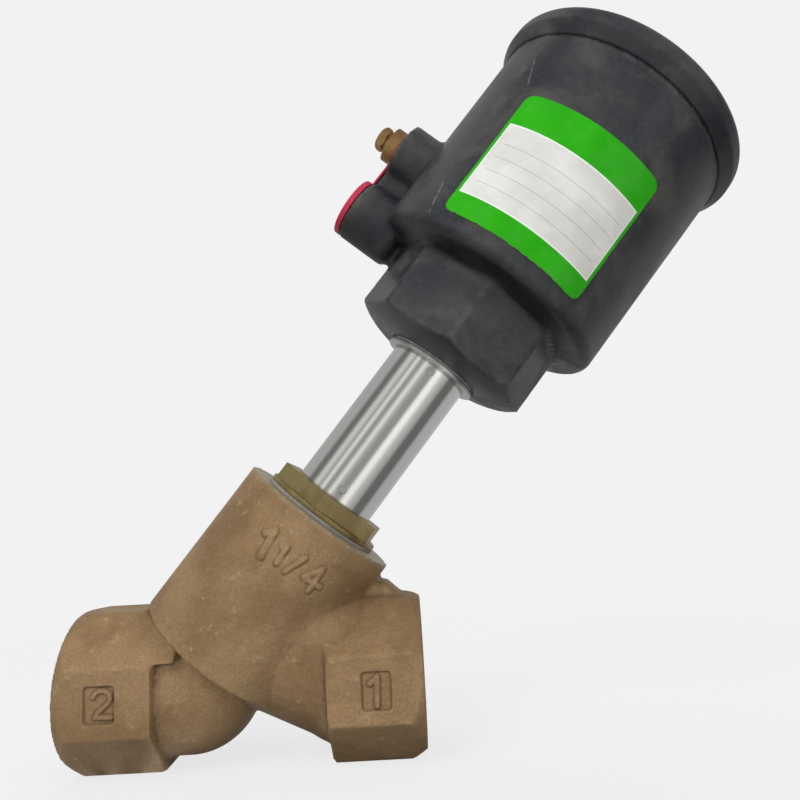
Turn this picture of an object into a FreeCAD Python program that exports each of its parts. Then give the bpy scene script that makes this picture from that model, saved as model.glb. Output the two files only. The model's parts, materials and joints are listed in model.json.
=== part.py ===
import FreeCAD, Part
import math
import os

V = FreeCAD.Vector
UP = V(0, 0, 1)
ALONG = V(1, 0, 0)

os.makedirs("parts", exist_ok=True)

# Angle seat valve with two female threaded ends and a spring-closed air actuator.
# Row frame: origin at the mouth of the inlet end, +X along the pipe to the outlet, +Z up.
# Everything on the inclined neck is drawn upright about Z first, with its height counted from
# the pipe's centre line, and then leaned over by on_neck().

# Valve body: the pipe ends
PORT_TO_PORT = 110.0
COLLAR_FLATS = 48.0
INLET_COLLAR_LENGTH = 29.5
OUTLET_COLLAR_LENGTH = 29.0
MOUTH_FACE_RADIUS = 23.3
MOUTH_CONE_LENGTH = 4.5
COLLAR_BACK_CHAMFER = 0.8
CORNER_ALLOWANCE = 0.2
PIPE_THREAD_RADIUS = 20.955
PIPE_THREAD_LENGTH = 19.0
PASSAGE_RADIUS = 16.0
PASSAGE_WALL = 5.5
MARK_WIDTH = 10.0
MARK_HEIGHT = 10.8
MARK_DEPTH = 0.6
MARK_CORNER = 1.4
MARK_FROM_MOUTH = 14.5

# Valve body: the inclined neck
NECK_X = 36.5
NECK_ANGLE = 50.5
NECK_RADIUS = 27.5
NECK_BOTTOM = 11.8
NECK_CHAMFER = 0.6
SEAT_HEIGHT = 18.0
SEAT_LIP = 1.5
CHAMBER_RADIUS = 21.5
NECK_THREAD_RADIUS = 19.5
NECK_THREAD_LENGTH = 14.0
OUTLET_BEND_X = 87.0
OUTLET_TOP_HEIGHT = 22.0
OUTLET_WALL = 5.0
INLET_SHOULDER_LENGTH = 6.5
INLET_SHOULDER_FOOT = 10.5
OUTLET_SHOULDER_RADIUS = 21.5
OUTLET_SHOULDER_HEIGHT = 38.0
RIB_HALF_WIDTH = 8.5
RIB_RISE = 4.8
RIB_ROUND = 3.0
RIB_BACK = 6.0
RIB_TOP = 4.8
RIB_SLOPE = 9.6

# Bonnet
BONNET_TURN = -3.0
GASKET_THICKNESS = 0.8
BONNET_COLLAR_RADIUS = 20.6
BONNET_COLLAR_THICKNESS = 1.7
BONNET_FLATS = 36.0
BONNET_HEX_THICKNESS = 5.5
BONNET_NOSE_RADIUS = 17.0
BONNET_NOSE_LENGTH = 6.0
TUBE_SOCKET_DEPTH = 6.0
WIPER_RADIUS = 8.0
WIPER_THICKNESS = 2.0
LOWER_BUSH_RADIUS = 7.5
LOWER_BUSH_LENGTH = 3.5
PACKING_RADIUS = 9.0
PACKING_BASE_THICKNESS = 2.0
PACKING_RINGS = 4
PACKING_RING_THICKNESS = 2.2
GLAND_THICKNESS = 2.0
THREAD_CLEARANCE = 0.05

# Housing tube and what it holds
TUBE_RADIUS = 14.0
TUBE_WALL = 1.5
TUBE_VISIBLE_LENGTH = 53.4
TUBE_FLANGE_RIM = 3.0
TUBE_FLANGE_THICKNESS = 1.7
PIN_RADIUS = 0.95
PIN_DIMPLE_RADIUS = 1.55
PIN_DIMPLE_DEPTH = 0.35
PIN_REACH = 3.0
PIN_AZIMUTH = 7.0
LOWER_PIN_ABOVE_BONNET = 3.6
UPPER_PIN_BELOW_FLANGE = 2.4
SPRING_STOP_THICKNESS = 3.2
UPPER_BUSH_LENGTH = 7.0
PACKING_WIRE_RADIUS = 0.8
PACKING_SPRING_TURNS = 5

# Stem and seat disc
STEM_RADIUS = 5.0
STEM_THREAD_RADIUS = 4.0
LIFT = 12.0
LIFT_ROOM = 1.0
DISC_RADIUS = 17.9
DISC_THICKNESS = 3.5
DISC_PROUD = 1.5
HOLDER_RIM = 1.0
HOLDER_THICKNESS = 3.5
HOLDER_HUB_RADIUS = 9.0
HOLDER_HUB_LENGTH = 8.0
STEM_SHOULDER_DEPTH = 6.0
NUT_FLATS = 13.0
NUT_THICKNESS = 6.0
NUT_WASHER_RADIUS = 9.0
NUT_WASHER_THICKNESS = 1.5
THREAD_END = 1.0

# Actuator casing
ACTUATOR_TURN = 2.7
CASING_HEIGHT = 105.6
CASING_WALL = 5.1
CASING_DRAFT = 0.3
CASING_CORNER = 3.5
UNDERSIDE_RISE = 1.2
FOOT_CORNER_RADIUS = 33.0
FOOT_SHOULDER = 0.6
FOOT_HEIGHT = 26.8
FOOT_FACE_WALL = 3.6
FOOT_ROUND_HEIGHT = 4.8
FOOT_BULGE = 1.0
HUB_HEIGHT = 20.8
HUB_WALL = 6.0
POCKET_RADIUS = 27.0
POCKET_DEPTH = 12.0
FLOOR_HEIGHT = 31.8
CYLINDER_RADIUS = 38.0
THRUST_WASHER_THICKNESS = 1.0
THRUST_WASHER_RIM = 2.6
HEAD_WASHER_THICKNESS = 1.0
HEAD_WASHER_RIM = 5.0
HEAD_NUT_THICKNESS = 6.0
HEAD_NUT_WALL = 4.0
HUB_SEAL_WIRE = 1.3
HUB_SEAL_HEIGHTS = (6.8, 13.8)

# Ports on the casing
PORT_REACH = 10.8
LOWER_PORT_HEIGHT = 29.1
LOWER_BOSS_RADIUS = 10.8
UPPER_PORT_PITCH = 26.9
UPPER_BOSS_RADIUS = 10.5
BOSS_ROOT = 3.0
BOSS_ROUND = 2.5
PORT_WEB_THICKNESS = 5.0
PORT_WEB_SETBACK = 0.2
PORT_WEB_FOOT = 1.5
AIRWAY_RADIUS = 1.2
PILOT_THREAD_RADIUS = 6.58
PILOT_INSERT_RADIUS = 8.5
PILOT_INSERT_LENGTH = 12.0
PILOT_RECESS_RADIUS = 7.6
PILOT_RECESS_DEPTH = 3.2
VENT_THREAD_RADIUS = 4.86
VENT_INSERT_RADIUS = 6.5
VENT_INSERT_LENGTH = 11.0
VENT_RECESS_RADIUS = 7.0
VENT_RECESS_DEPTH = 0.4
VENT_FLANGE_RADIUS = 6.3
VENT_FLANGE_THICKNESS = 4.1
VENT_NECK_RADIUS = 3.8
VENT_NECK_LENGTH = 1.0
VENT_HEAD_FLATS = 7.8
VENT_HEAD_LENGTH = 3.6
VENT_BORE_RADIUS = 1.2
VENT_HOLE_RADIUS = 0.35
VENT_SPIGOT_LENGTH = 9.0
PLUG_RADIUS = 10.6
PLUG_THICKNESS = 2.0
PLUG_SPIGOT_RADIUS = 7.3
PLUG_SPIGOT_TAPER = 0.4
PLUG_SPIGOT_LENGTH = 3.0
STRAP_THICKNESS = 0.8
STRAP_WIDTH = 5.0
STRAP_EYE_RADIUS = 6.6
STRAP_HINGE_HEIGHT = 18.1

# Piston
PISTON_GAP = 2.0
PISTON_CLEARANCE = 0.4
PISTON_WEB = 4.0
PISTON_RIM = 9.0
PISTON_RIM_WALL = 4.6
PISTON_HUB_RADIUS = 12.0
PISTON_HUB_DROP = 3.0
LIP_SEAL_BOTTOM = 1.0
LIP_SEAL_HEIGHT = 3.5
LIP_SEAL_DEPTH = 3.0
BAND_BOTTOM = 6.0
BAND_HEIGHT = 2.0
BAND_DEPTH = 1.2
RING_CLEARANCE = 0.07
STEM_SEAL_WIRE = 0.8

# Closing springs
SPRING_SIDE_ROOM = 3.8
OUTER_WIRE_RADIUS = 2.2
OUTER_SPRING_TURNS = 6
INNER_SPRING_RADIUS = 17.5
INNER_WIRE_RADIUS = 1.7
INNER_SPRING_TURNS = 8
SPRING_PLATE_THICKNESS = 1.5
SPRING_PLATE_BORE = 14.0
SPRING_END_GAP = 0.1
COIL_POINTS = 12

# Cap and position indicator
CAP_HEIGHT = 9.6
CAP_LEDGE = 0.6
CAP_OVERHANG = 3.3
CAP_FLARE_HEIGHT = 3.7
CAP_CORNER = 3.0
CAP_SPIGOT_LENGTH = 10.0
CAP_SPIGOT_WALL = 5.0
CAP_PLATE_THICKNESS = 5.0
CAP_SEAL_WIRE = 1.2
CAP_BOSS_RADIUS = 11.0
CAP_BOSS_DROP = 15.0
FLAG_WELL_RADIUS = 7.0
FLAG_WELL_DEPTH = 9.0
FLAG_RADIUS = 6.0
FLAG_LENGTH = 6.0
FLAG_DROP = 2.0
FLAG_CORNER = 1.0
INDICATOR_ROD_RADIUS = 2.5
INDICATOR_SPIGOT_RADIUS = 1.5
INDICATOR_SPIGOT_LENGTH = 8.0
DOME_RADIUS = 9.0
DOME_WALL = 1.2
DOME_ROOM = 1.0
DOME_CORNER = 2.5
DOME_FLANGE_RADIUS = 10.5
DOME_FLANGE_THICKNESS = 1.0
DOME_SEAL_THICKNESS = 0.6

# Label
LABEL_BOTTOM = 34.7
LABEL_HEIGHT = 45.9
LABEL_AZIMUTH = 2.0
LABEL_HALF_WIDTH = 24.6
LABEL_THICKNESS = 0.2
LABEL_GLUE = 0.03
LABEL_CORNER = 3.0

# Polygons
HEXAGON = 6
OCTAGON = 8
HEX_CHAMFER = 0.5

# Clearances
OVERCUT = 1.0
RUNNING_FIT = 0.06
FACE_GAP = 0.1
LOOSE_FIT = 0.3

# Heights on the neck's axis, counted from the pipe's centre line
chamber_floor = SEAT_HEIGHT - SEAT_LIP
disc_top = SEAT_HEIGHT + DISC_THICKNESS
holder_top = disc_top + HOLDER_THICKNESS + HOLDER_HUB_LENGTH
bonnet_nose = holder_top + LIFT + LIFT_ROOM
chamber_top = bonnet_nose + BONNET_NOSE_LENGTH
neck_top = chamber_top + NECK_THREAD_LENGTH
collar_bottom = neck_top + GASKET_THICKNESS
hex_bottom = collar_bottom + BONNET_COLLAR_THICKNESS
bonnet_top = hex_bottom + BONNET_HEX_THICKNESS
tube_foot = bonnet_top - TUBE_SOCKET_DEPTH
bush_bottom = bonnet_nose + WIPER_THICKNESS
packing_bottom = bush_bottom + LOWER_BUSH_LENGTH
rings_bottom = packing_bottom + PACKING_BASE_THICKNESS
gland_bottom = rings_bottom + PACKING_RINGS * PACKING_RING_THICKNESS
gland_top = gland_bottom + GLAND_THICKNESS
lower_pin = bonnet_top + LOWER_PIN_ABOVE_BONNET
flange_bottom = bonnet_top + TUBE_VISIBLE_LENGTH
upper_pin = flange_bottom - UPPER_PIN_BELOW_FLANGE
flange_top = flange_bottom + TUBE_FLANGE_THICKNESS
casing_bottom = flange_top + FACE_GAP
hub_top = casing_bottom + HUB_HEIGHT
head_washer_bottom = hub_top + FACE_GAP
head_nut_bottom = head_washer_bottom + HEAD_WASHER_THICKNESS
tube_top = head_nut_bottom + HEAD_NUT_THICKNESS
foot_top = casing_bottom + FOOT_HEIGHT
wall_foot = foot_top + UNDERSIDE_RISE + CASING_CORNER
floor_top = casing_bottom + FLOOR_HEIGHT
lower_port = casing_bottom + LOWER_PORT_HEIGHT
upper_port = lower_port + UPPER_PORT_PITCH
casing_top = casing_bottom + CASING_HEIGHT
cap_top = casing_top + CAP_HEIGHT
cap_ceiling = cap_top - CAP_PLATE_THICKNESS

stem_shoulder = holder_top - STEM_SHOULDER_DEPTH
disc_washer_bottom = SEAT_HEIGHT - NUT_WASHER_THICKNESS
disc_nut_bottom = disc_washer_bottom - NUT_THICKNESS
stem_foot = disc_nut_bottom - THREAD_END
piston_bottom = floor_top + PISTON_GAP
piston_web_top = piston_bottom + PISTON_WEB
piston_top = piston_bottom + PISTON_RIM
piston_hub_bottom = piston_bottom - PISTON_HUB_DROP
piston_nut_bottom = piston_top + NUT_WASHER_THICKNESS
piston_nut_top = piston_nut_bottom + NUT_THICKNESS
stem_top = piston_nut_top + THREAD_END
spring_bottom = piston_web_top + SPRING_END_GAP
spring_plate_bottom = cap_ceiling - SPRING_PLATE_THICKNESS
spring_top = spring_plate_bottom - SPRING_END_GAP
flag_top = cap_top - FLAG_DROP
flag_bottom = flag_top - FLAG_LENGTH
dome_top = cap_top + LIFT + DOME_ROOM

# Radii and reaches worked out from the others
tube_bore = TUBE_RADIUS - TUBE_WALL
stem_hole = STEM_RADIUS + RUNNING_FIT
thread_hole = STEM_THREAD_RADIUS + THREAD_CLEARANCE
hub_bore = TUBE_RADIUS + RUNNING_FIT
tube_flange_radius = TUBE_RADIUS + TUBE_FLANGE_RIM
thrust_washer_radius = TUBE_RADIUS + THRUST_WASHER_RIM
head_washer_radius = TUBE_RADIUS + HEAD_WASHER_RIM
head_nut_flats = 2 * (TUBE_RADIUS + HEAD_NUT_WALL)
foot_face_radius = TUBE_RADIUS + FOOT_FACE_WALL
piston_radius = CYLINDER_RADIUS - PISTON_CLEARANCE
casing_foot_radius = CYLINDER_RADIUS + CASING_WALL
casing_top_radius = casing_foot_radius + CASING_DRAFT
cap_seam_radius = casing_top_radius + CAP_LEDGE
cap_radius = casing_top_radius + CAP_OVERHANG
port_face = casing_top_radius + PORT_REACH
boss_foot = CYLINDER_RADIUS - BOSS_ROOT
outer_spring_radius = CYLINDER_RADIUS - CAP_SPIGOT_WALL - OUTER_WIRE_RADIUS - SPRING_SIDE_ROOM
outlet_outer = PASSAGE_RADIUS + OUTLET_WALL


def outline(steps):
    """Closed wire in the XZ plane: a step of two numbers is a corner, one of four is an arc."""
    start = V(steps[0][0], 0, steps[0][1])
    here = start
    edges = []
    for step in steps[1:]:
        end = V(step[-2], 0, step[-1])
        if len(step) == 4:
            edges.append(Part.Arc(here, V(step[0], 0, step[1]), end).toShape())
        else:
            edges.append(Part.makeLine(here, end))
        here = end
    edges.append(Part.makeLine(here, start))
    return Part.Wire(edges)


def turned(steps):
    """Solid turned about Z from steps of (radius, height)."""
    return Part.Face(outline(steps)).revolve(V(0, 0, 0), UP, 360)


def rod(radius, bottom, top):
    """Upright cylinder between two heights."""
    return Part.makeCylinder(radius, top - bottom, V(0, 0, bottom))


def ring(outer, inner, bottom, top):
    """Upright tube between two heights."""
    return rod(outer, bottom, top).cut(rod(inner, bottom, top))


def prism(sides, corner_radius, bottom, top, turn=0.0):
    """Upright prism on a regular polygon whose first corner lies at the angle turn from +X."""
    angles = [math.radians(turn + 360.0 * k / sides) for k in range(sides + 1)]
    corners = [V(corner_radius * math.cos(a), corner_radius * math.sin(a), bottom) for a in angles]
    return Part.Face(Part.makePolygon(corners)).extrude(V(0, 0, top - bottom))


def corner_of(flats, sides):
    """Corner radius of a regular polygon of a given size across its flats."""
    return flats / 2 / math.cos(math.pi / sides)


def hex_block(flats, bottom, top):
    """Hexagon with the corners of both end faces turned off."""
    corner = corner_of(flats, HEXAGON)
    block = prism(HEXAGON, corner, bottom, top, 180.0 / HEXAGON)
    half = flats / 2 - HEX_CHAMFER
    steps = [(0, bottom), (half, bottom), (corner, bottom + HEX_CHAMFER * 2)]
    steps += [(corner, top - HEX_CHAMFER * 2), (half, top), (0, top)]
    return block.common(turned(steps))


def rounded_plate(width, height, corner, thickness):
    """Plate in the XZ plane, centred on the origin, whose front face is at y = 0."""
    box = Part.makeBox(width, thickness, height, V(-width / 2, 0, -height / 2))
    upright = [e for e in box.Edges if abs(e.Vertexes[0].Y - e.Vertexes[-1].Y) > thickness / 2]
    return box.makeFillet(corner, upright)


def coil(mean_radius, wire_radius, bottom, top, turns):
    """Compression spring between two heights, swept along a smooth curve through points of a helix."""
    pitch = (top - bottom - 2 * wire_radius) / turns
    line = Part.BSplineCurve()
    points = []
    for number in range(turns * COIL_POINTS + 1):
        angle = 2 * math.pi * number / COIL_POINTS
        height = pitch * number / COIL_POINTS
        points.append(V(mean_radius * math.cos(angle), mean_radius * math.sin(angle), height))
    line.interpolate(points)
    heading = line.tangent(line.FirstParameter)[0]
    section = Part.Wire(Part.makeCircle(wire_radius, points[0], heading))
    spring = Part.Wire(line.toShape()).makePipeShell([section], True, True)
    spring.translate(V(0, 0, bottom + wire_radius))
    return spring


def along_x(shape):
    """Lays an upright shape down along +X."""
    laid = shape.copy()
    laid.rotate(V(0, 0, 0), V(0, 1, 0), 90)
    return laid


def on_neck(shape):
    """Leans an upright shape over onto the neck's axis."""
    leaned = shape.copy()
    leaned.rotate(V(0, 0, 0), V(0, 1, 0), 90 - NECK_ANGLE)
    leaned.translate(V(NECK_X, 0, 0))
    return leaned


def on_actuator(shape):
    """Turns a shape with the actuator and leans it onto the neck's axis."""
    turned_shape = shape.copy()
    turned_shape.rotate(V(0, 0, 0), UP, ACTUATOR_TURN)
    return on_neck(turned_shape)


def out_of_port(shape, height):
    """Lays an upright shape along the port direction, -X, at a height on the casing."""
    laid = shape.copy()
    laid.rotate(V(0, 0, 0), V(0, 1, 0), -90)
    laid.translate(V(0, 0, height))
    return laid


def collar(length):
    """Octagonal pipe end from its mouth at x = 0, with the mouth's corners turned to a cone."""
    corner = corner_of(COLLAR_FLATS, OCTAGON)
    block = prism(OCTAGON, corner, 0, length, 180.0 / OCTAGON)
    limit = corner + CORNER_ALLOWANCE
    cone_end = MOUTH_CONE_LENGTH * (limit - MOUTH_FACE_RADIUS) / (corner - MOUTH_FACE_RADIUS)
    back = corner - COLLAR_BACK_CHAMFER
    steps = [(0, 0), (MOUTH_FACE_RADIUS, 0), (limit, cone_end)]
    steps += [(limit, length - COLLAR_BACK_CHAMFER - CORNER_ALLOWANCE), (back, length), (0, length)]
    return along_x(block.common(turned(steps)))


def mirrored_end(shape):
    """Turns an inlet shape end for end onto the outlet mouth."""
    turned_shape = shape.copy()
    turned_shape.rotate(V(0, 0, 0), UP, 180)
    turned_shape.translate(V(PORT_TO_PORT, 0, 0))
    return turned_shape


def outlet_run(radius, along=OUTLET_TOP_HEIGHT):
    """Inclined run from the bend in the outlet collar up to a height on the neck's axis."""
    bend = V(OUTLET_BEND_X, 0, 0)
    lean = math.radians(NECK_ANGLE)
    head = V(NECK_X + along * math.cos(lean), 0, along * math.sin(lean))
    run = head.sub(bend)
    tube = Part.makeCylinder(radius, run.Length, bend, run)
    return tube.fuse(Part.makeSphere(radius, bend))


def inlet_dome(radius):
    """Inlet passage from the collar to its round end under the seat."""
    tube = Part.makeCylinder(radius, NECK_X, V(0, 0, 0), ALONG)
    return tube.fuse(Part.makeSphere(radius, V(NECK_X, 0, 0)))


def inlet_shoulder():
    """Upper flats of the inlet octagon, carried on into the neck."""
    length = INLET_COLLAR_LENGTH + INLET_SHOULDER_LENGTH
    corner = V(0, -COLLAR_FLATS, INLET_SHOULDER_FOOT)
    upper = Part.makeBox(length, 2 * COLLAR_FLATS, COLLAR_FLATS, corner)
    return collar(length).common(upper)


def collar_rib():
    """Wedge of casting that fills the corner between the neck's rim and the outlet collar."""
    half = COLLAR_FLATS / 2
    outer = PORT_TO_PORT - MOUTH_CONE_LENGTH
    inner = outer - RIB_BACK
    crown = inner - RIB_TOP
    deep = half - RIB_RISE
    steps = [(outer, half - COLLAR_BACK_CHAMFER), (inner, half + RIB_RISE), (crown, half + RIB_RISE)]
    steps += [(crown - RIB_SLOPE, half), (crown - RIB_SLOPE / 2, deep), (outer, deep)]
    wedge = Part.Face(outline(steps)).extrude(V(0, 2 * RIB_HALF_WIDTH, 0))
    wedge.translate(V(0, -RIB_HALF_WIDTH, 0))
    top = half + RIB_RISE / 2
    side = [e for e in wedge.Edges if abs(e.Vertexes[0].Y - e.Vertexes[-1].Y) < RIB_HALF_WIDTH]
    crest = [e for e in side if max(v.Z for v in e.Vertexes) > top]
    return wedge.makeFillet(RIB_ROUND, crest)


def port_mark(from_mouth):
    """Sunk rounded square on a collar's front flat."""
    plate = rounded_plate(MARK_WIDTH, MARK_HEIGHT, MARK_CORNER, MARK_DEPTH + OVERCUT)
    plate.translate(V(from_mouth, -COLLAR_FLATS / 2 - OVERCUT, 0))
    return plate


def valve_body():
    """Cast body: two octagonal ends, the inclined neck with its seat, and the two passages."""
    rim = NECK_RADIUS - NECK_CHAMFER
    steps = [(0, NECK_BOTTOM), (NECK_RADIUS, NECK_BOTTOM), (NECK_RADIUS, neck_top - NECK_CHAMFER)]
    neck = on_neck(turned(steps + [(rim, neck_top), (0, neck_top)]))
    body = collar(INLET_COLLAR_LENGTH).fuse(mirrored_end(collar(OUTLET_COLLAR_LENGTH)))
    shoulder = outlet_run(OUTLET_SHOULDER_RADIUS, OUTLET_SHOULDER_HEIGHT)
    dome_end = inlet_dome(PASSAGE_RADIUS + PASSAGE_WALL)
    body = body.fuse([dome_end, outlet_run(outlet_outer), collar_rib(), neck])
    body = body.fuse([inlet_shoulder(), shoulder]).removeSplitter()

    thread = along_x(rod(PIPE_THREAD_RADIUS, 0, PIPE_THREAD_LENGTH))
    outlet_length = PORT_TO_PORT - OUTLET_BEND_X
    outlet_bore = Part.makeCylinder(PASSAGE_RADIUS, outlet_length, V(OUTLET_BEND_X, 0, 0), ALONG)
    seat_bore = on_neck(rod(PASSAGE_RADIUS, 0, SEAT_HEIGHT))
    chamber = turned([(0, chamber_floor), (CHAMBER_RADIUS, chamber_floor), (CHAMBER_RADIUS, chamber_top),
                      (NECK_THREAD_RADIUS, chamber_top), (NECK_THREAD_RADIUS, neck_top), (0, neck_top)])
    lip = ring(PASSAGE_RADIUS + SEAT_LIP, PASSAGE_RADIUS, chamber_floor, SEAT_HEIGHT)
    seat_wall = on_neck(rod(CHAMBER_RADIUS, -CHAMBER_RADIUS, chamber_floor))
    passage = outlet_run(PASSAGE_RADIUS).cut(seat_wall)
    body = body.cut([thread, mirrored_end(thread), inlet_dome(PASSAGE_RADIUS), seat_bore])
    body = body.cut([on_neck(chamber.cut(lip)), passage, outlet_bore])
    outlet_mark = PORT_TO_PORT - MARK_FROM_MOUTH
    return body.cut([port_mark(MARK_FROM_MOUTH), port_mark(outlet_mark)])


def bonnet():
    """Hexagon bonnet: threaded plug, round collar, packing bore and the tube's socket."""
    plug = NECK_THREAD_RADIUS - THREAD_CLEARANCE
    steps = [(0, bonnet_nose), (BONNET_NOSE_RADIUS, bonnet_nose), (BONNET_NOSE_RADIUS, chamber_top)]
    steps += [(plug, chamber_top), (plug, collar_bottom), (BONNET_COLLAR_RADIUS, collar_bottom)]
    steps += [(BONNET_COLLAR_RADIUS, hex_bottom), (0, hex_bottom)]
    corner = corner_of(BONNET_FLATS, HEXAGON)
    head = prism(HEXAGON, corner, hex_bottom, bonnet_top, 180.0 / HEXAGON + BONNET_TURN)
    bores = [rod(WIPER_RADIUS, bonnet_nose, bush_bottom)]
    bores += [rod(LOWER_BUSH_RADIUS, bush_bottom, packing_bottom)]
    bores += [rod(PACKING_RADIUS, packing_bottom, tube_foot), rod(TUBE_RADIUS, tube_foot, bonnet_top)]
    return turned(steps).fuse(head).cut(bores).removeSplitter()


def packing_ring(bottom):
    """V ring of the stem packing."""
    top = bottom + PACKING_RING_THICKNESS
    middle = (stem_hole + PACKING_RADIUS) / 2
    rise = PACKING_RING_THICKNESS / 2
    outer = PACKING_RADIUS - THREAD_CLEARANCE
    return turned([(stem_hole, bottom), (middle, bottom + rise), (outer, bottom),
                   (outer, top - rise), (middle, top), (stem_hole, top - rise)])


def pin_hole(radius, height, reach):
    """Radial cylinder that goes inwards from the tube's surface."""
    hole = Part.makeCylinder(radius, reach, V(0, -TUBE_RADIUS, height), V(0, 1, 0))
    hole.rotate(V(0, 0, 0), UP, PIN_AZIMUTH)
    return hole


def housing_tube():
    """Stainless tube from the bonnet's socket to the head nut, with a dimple round each pin."""
    tube = ring(TUBE_RADIUS, tube_bore, tube_foot, tube_top)
    for height in (lower_pin, upper_pin):
        tube = tube.cut(pin_hole(PIN_RADIUS, height, PIN_REACH))
        tube = tube.cut(pin_hole(PIN_DIMPLE_RADIUS, height, PIN_DIMPLE_DEPTH))
    return tube


def pinned_ring(inner, height, length):
    """Ring inside the tube that a pin holds at its middle."""
    outer = tube_bore - THREAD_CLEARANCE
    block = ring(outer, inner, height - length / 2, height + length / 2)
    return block.cut(pin_hole(PIN_RADIUS, height, PIN_REACH))


def nut(bottom):
    """Hexagon nut on the stem's thread."""
    top = bottom + NUT_THICKNESS
    return hex_block(NUT_FLATS, bottom, top).cut(rod(thread_hole, bottom, top))


def stem():
    """Stem with a thread for the disc below and one for the piston above."""
    steps = [(0, stem_foot), (STEM_THREAD_RADIUS, stem_foot), (STEM_THREAD_RADIUS, stem_shoulder)]
    steps += [(STEM_RADIUS, stem_shoulder), (STEM_RADIUS, piston_hub_bottom)]
    steps += [(STEM_THREAD_RADIUS, piston_hub_bottom), (STEM_THREAD_RADIUS, stem_top), (0, stem_top)]
    return turned(steps).cut(rod(INDICATOR_SPIGOT_RADIUS, stem_top - INDICATOR_SPIGOT_LENGTH, stem_top))


def disc_holder():
    """Metal holder that clamps the soft disc and screws to the stem."""
    cup = DISC_RADIUS + THREAD_CLEARANCE
    rim = cup + HOLDER_RIM
    plate_top = disc_top + HOLDER_THICKNESS
    lip = SEAT_HEIGHT + DISC_PROUD
    steps = [(thread_hole, disc_top), (cup, disc_top), (cup, lip), (rim, lip), (rim, plate_top)]
    steps += [(HOLDER_HUB_RADIUS, plate_top), (HOLDER_HUB_RADIUS, holder_top), (STEM_RADIUS, holder_top)]
    return turned(steps + [(STEM_RADIUS, stem_shoulder), (thread_hole, stem_shoulder)])


def piston():
    """Piston plate with its hub on the stem, its rim, and grooves for the lip seal and the band."""
    rim_bore = piston_radius - PISTON_RIM_WALL
    seal_bottom = piston_bottom + LIP_SEAL_BOTTOM
    band_bottom = piston_bottom + BAND_BOTTOM
    steps = [(thread_hole, piston_hub_bottom), (PISTON_HUB_RADIUS, piston_hub_bottom)]
    steps += [(PISTON_HUB_RADIUS, piston_bottom), (piston_radius, piston_bottom)]
    steps += [(piston_radius, piston_top)]
    steps += [(rim_bore, piston_top), (rim_bore, piston_web_top), (PISTON_HUB_RADIUS, piston_web_top)]
    steps += [(PISTON_HUB_RADIUS, piston_top), (thread_hole, piston_top)]
    over = piston_radius + OVERCUT
    seal_top = seal_bottom + LIP_SEAL_HEIGHT
    seal_groove = ring(over, piston_radius - LIP_SEAL_DEPTH, seal_bottom, seal_top)
    band_groove = ring(over, piston_radius - BAND_DEPTH, band_bottom, band_bottom + BAND_HEIGHT)
    groove_top = piston_bottom + 2 * STEM_SEAL_WIRE
    groove = STEM_THREAD_RADIUS + 2 * STEM_SEAL_WIRE
    stem_groove = ring(groove, STEM_THREAD_RADIUS, piston_bottom, groove_top)
    return turned(steps).cut([seal_groove, band_groove, stem_groove])


def lip_seal():
    """Cup seal whose lip leans out to the cylinder wall on the air side."""
    bottom = piston_bottom + LIP_SEAL_BOTTOM
    top = bottom + LIP_SEAL_HEIGHT
    inner = piston_radius - LIP_SEAL_DEPTH
    outer = CYLINDER_RADIUS - RING_CLEARANCE
    middle = (inner + piston_radius) / 2
    steps = [(inner, bottom), (inner + LIP_SEAL_DEPTH / 4, bottom), (middle, bottom + LIP_SEAL_HEIGHT / 2)]
    steps += [(outer - LIP_SEAL_DEPTH / 4, bottom), (outer, bottom), (piston_radius, top), (inner, top)]
    return turned(steps)


def guide_band():
    """Guide band in the piston's upper groove."""
    bottom = piston_bottom + BAND_BOTTOM
    outer = CYLINDER_RADIUS - RING_CLEARANCE
    return ring(outer, piston_radius - BAND_DEPTH, bottom, bottom + BAND_HEIGHT)


def torus(mean_radius, wire_radius, height):
    """O-ring at a height."""
    return Part.makeTorus(mean_radius, wire_radius, V(0, 0, height))


def hub_seal_places():
    """Heights of the two O-rings between the casing's hub and the tube."""
    return [casing_bottom + height for height in HUB_SEAL_HEIGHTS]


def casing_outside():
    """Cylinder, octagon foot, two port bosses and the web between them."""
    under = foot_top + UNDERSIDE_RISE
    cut = CASING_CORNER * (1 - math.sqrt(0.5))
    start = casing_foot_radius
    steps = [(0, foot_top), (FOOT_CORNER_RADIUS + FOOT_SHOULDER, foot_top), (start - CASING_CORNER, under)]
    steps += [(start - cut, under + cut, start, wall_foot)]
    steps += [(casing_top_radius, casing_top), (0, casing_top)]
    drum = turned(steps)
    foot = prism(OCTAGON, FOOT_CORNER_RADIUS, casing_bottom, under)
    limit = FOOT_CORNER_RADIUS + CORNER_ALLOWANCE
    bulge = (foot_face_radius + limit) / 2 + FOOT_BULGE
    steps = [(0, casing_bottom), (foot_face_radius, casing_bottom)]
    steps += [(bulge, casing_bottom + FOOT_ROUND_HEIGHT / 3, limit, casing_bottom + FOOT_ROUND_HEIGHT)]
    steps += [(limit, under), (0, under)]
    foot = foot.common(turned(steps))
    lower = port_boss(LOWER_BOSS_RADIUS, lower_port)
    upper = port_boss(UPPER_BOSS_RADIUS, upper_port)
    reach = port_face - PORT_WEB_SETBACK
    half = PORT_WEB_THICKNESS / 2
    root = POCKET_RADIUS - HUB_WALL / 2
    web_foot = lower_port - LOWER_BOSS_RADIUS + PORT_WEB_FOOT
    web = Part.makeBox(reach - root, 2 * half, upper_port - web_foot, V(-reach, -half, web_foot))
    return drum.fuse([foot, lower, upper, web])


def casing_radius(height):
    """Outer radius of the casing, which widens a little towards the cap."""
    share = (height - wall_foot) / (casing_top - wall_foot)
    return casing_foot_radius + share * (casing_top_radius - casing_foot_radius)


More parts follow.
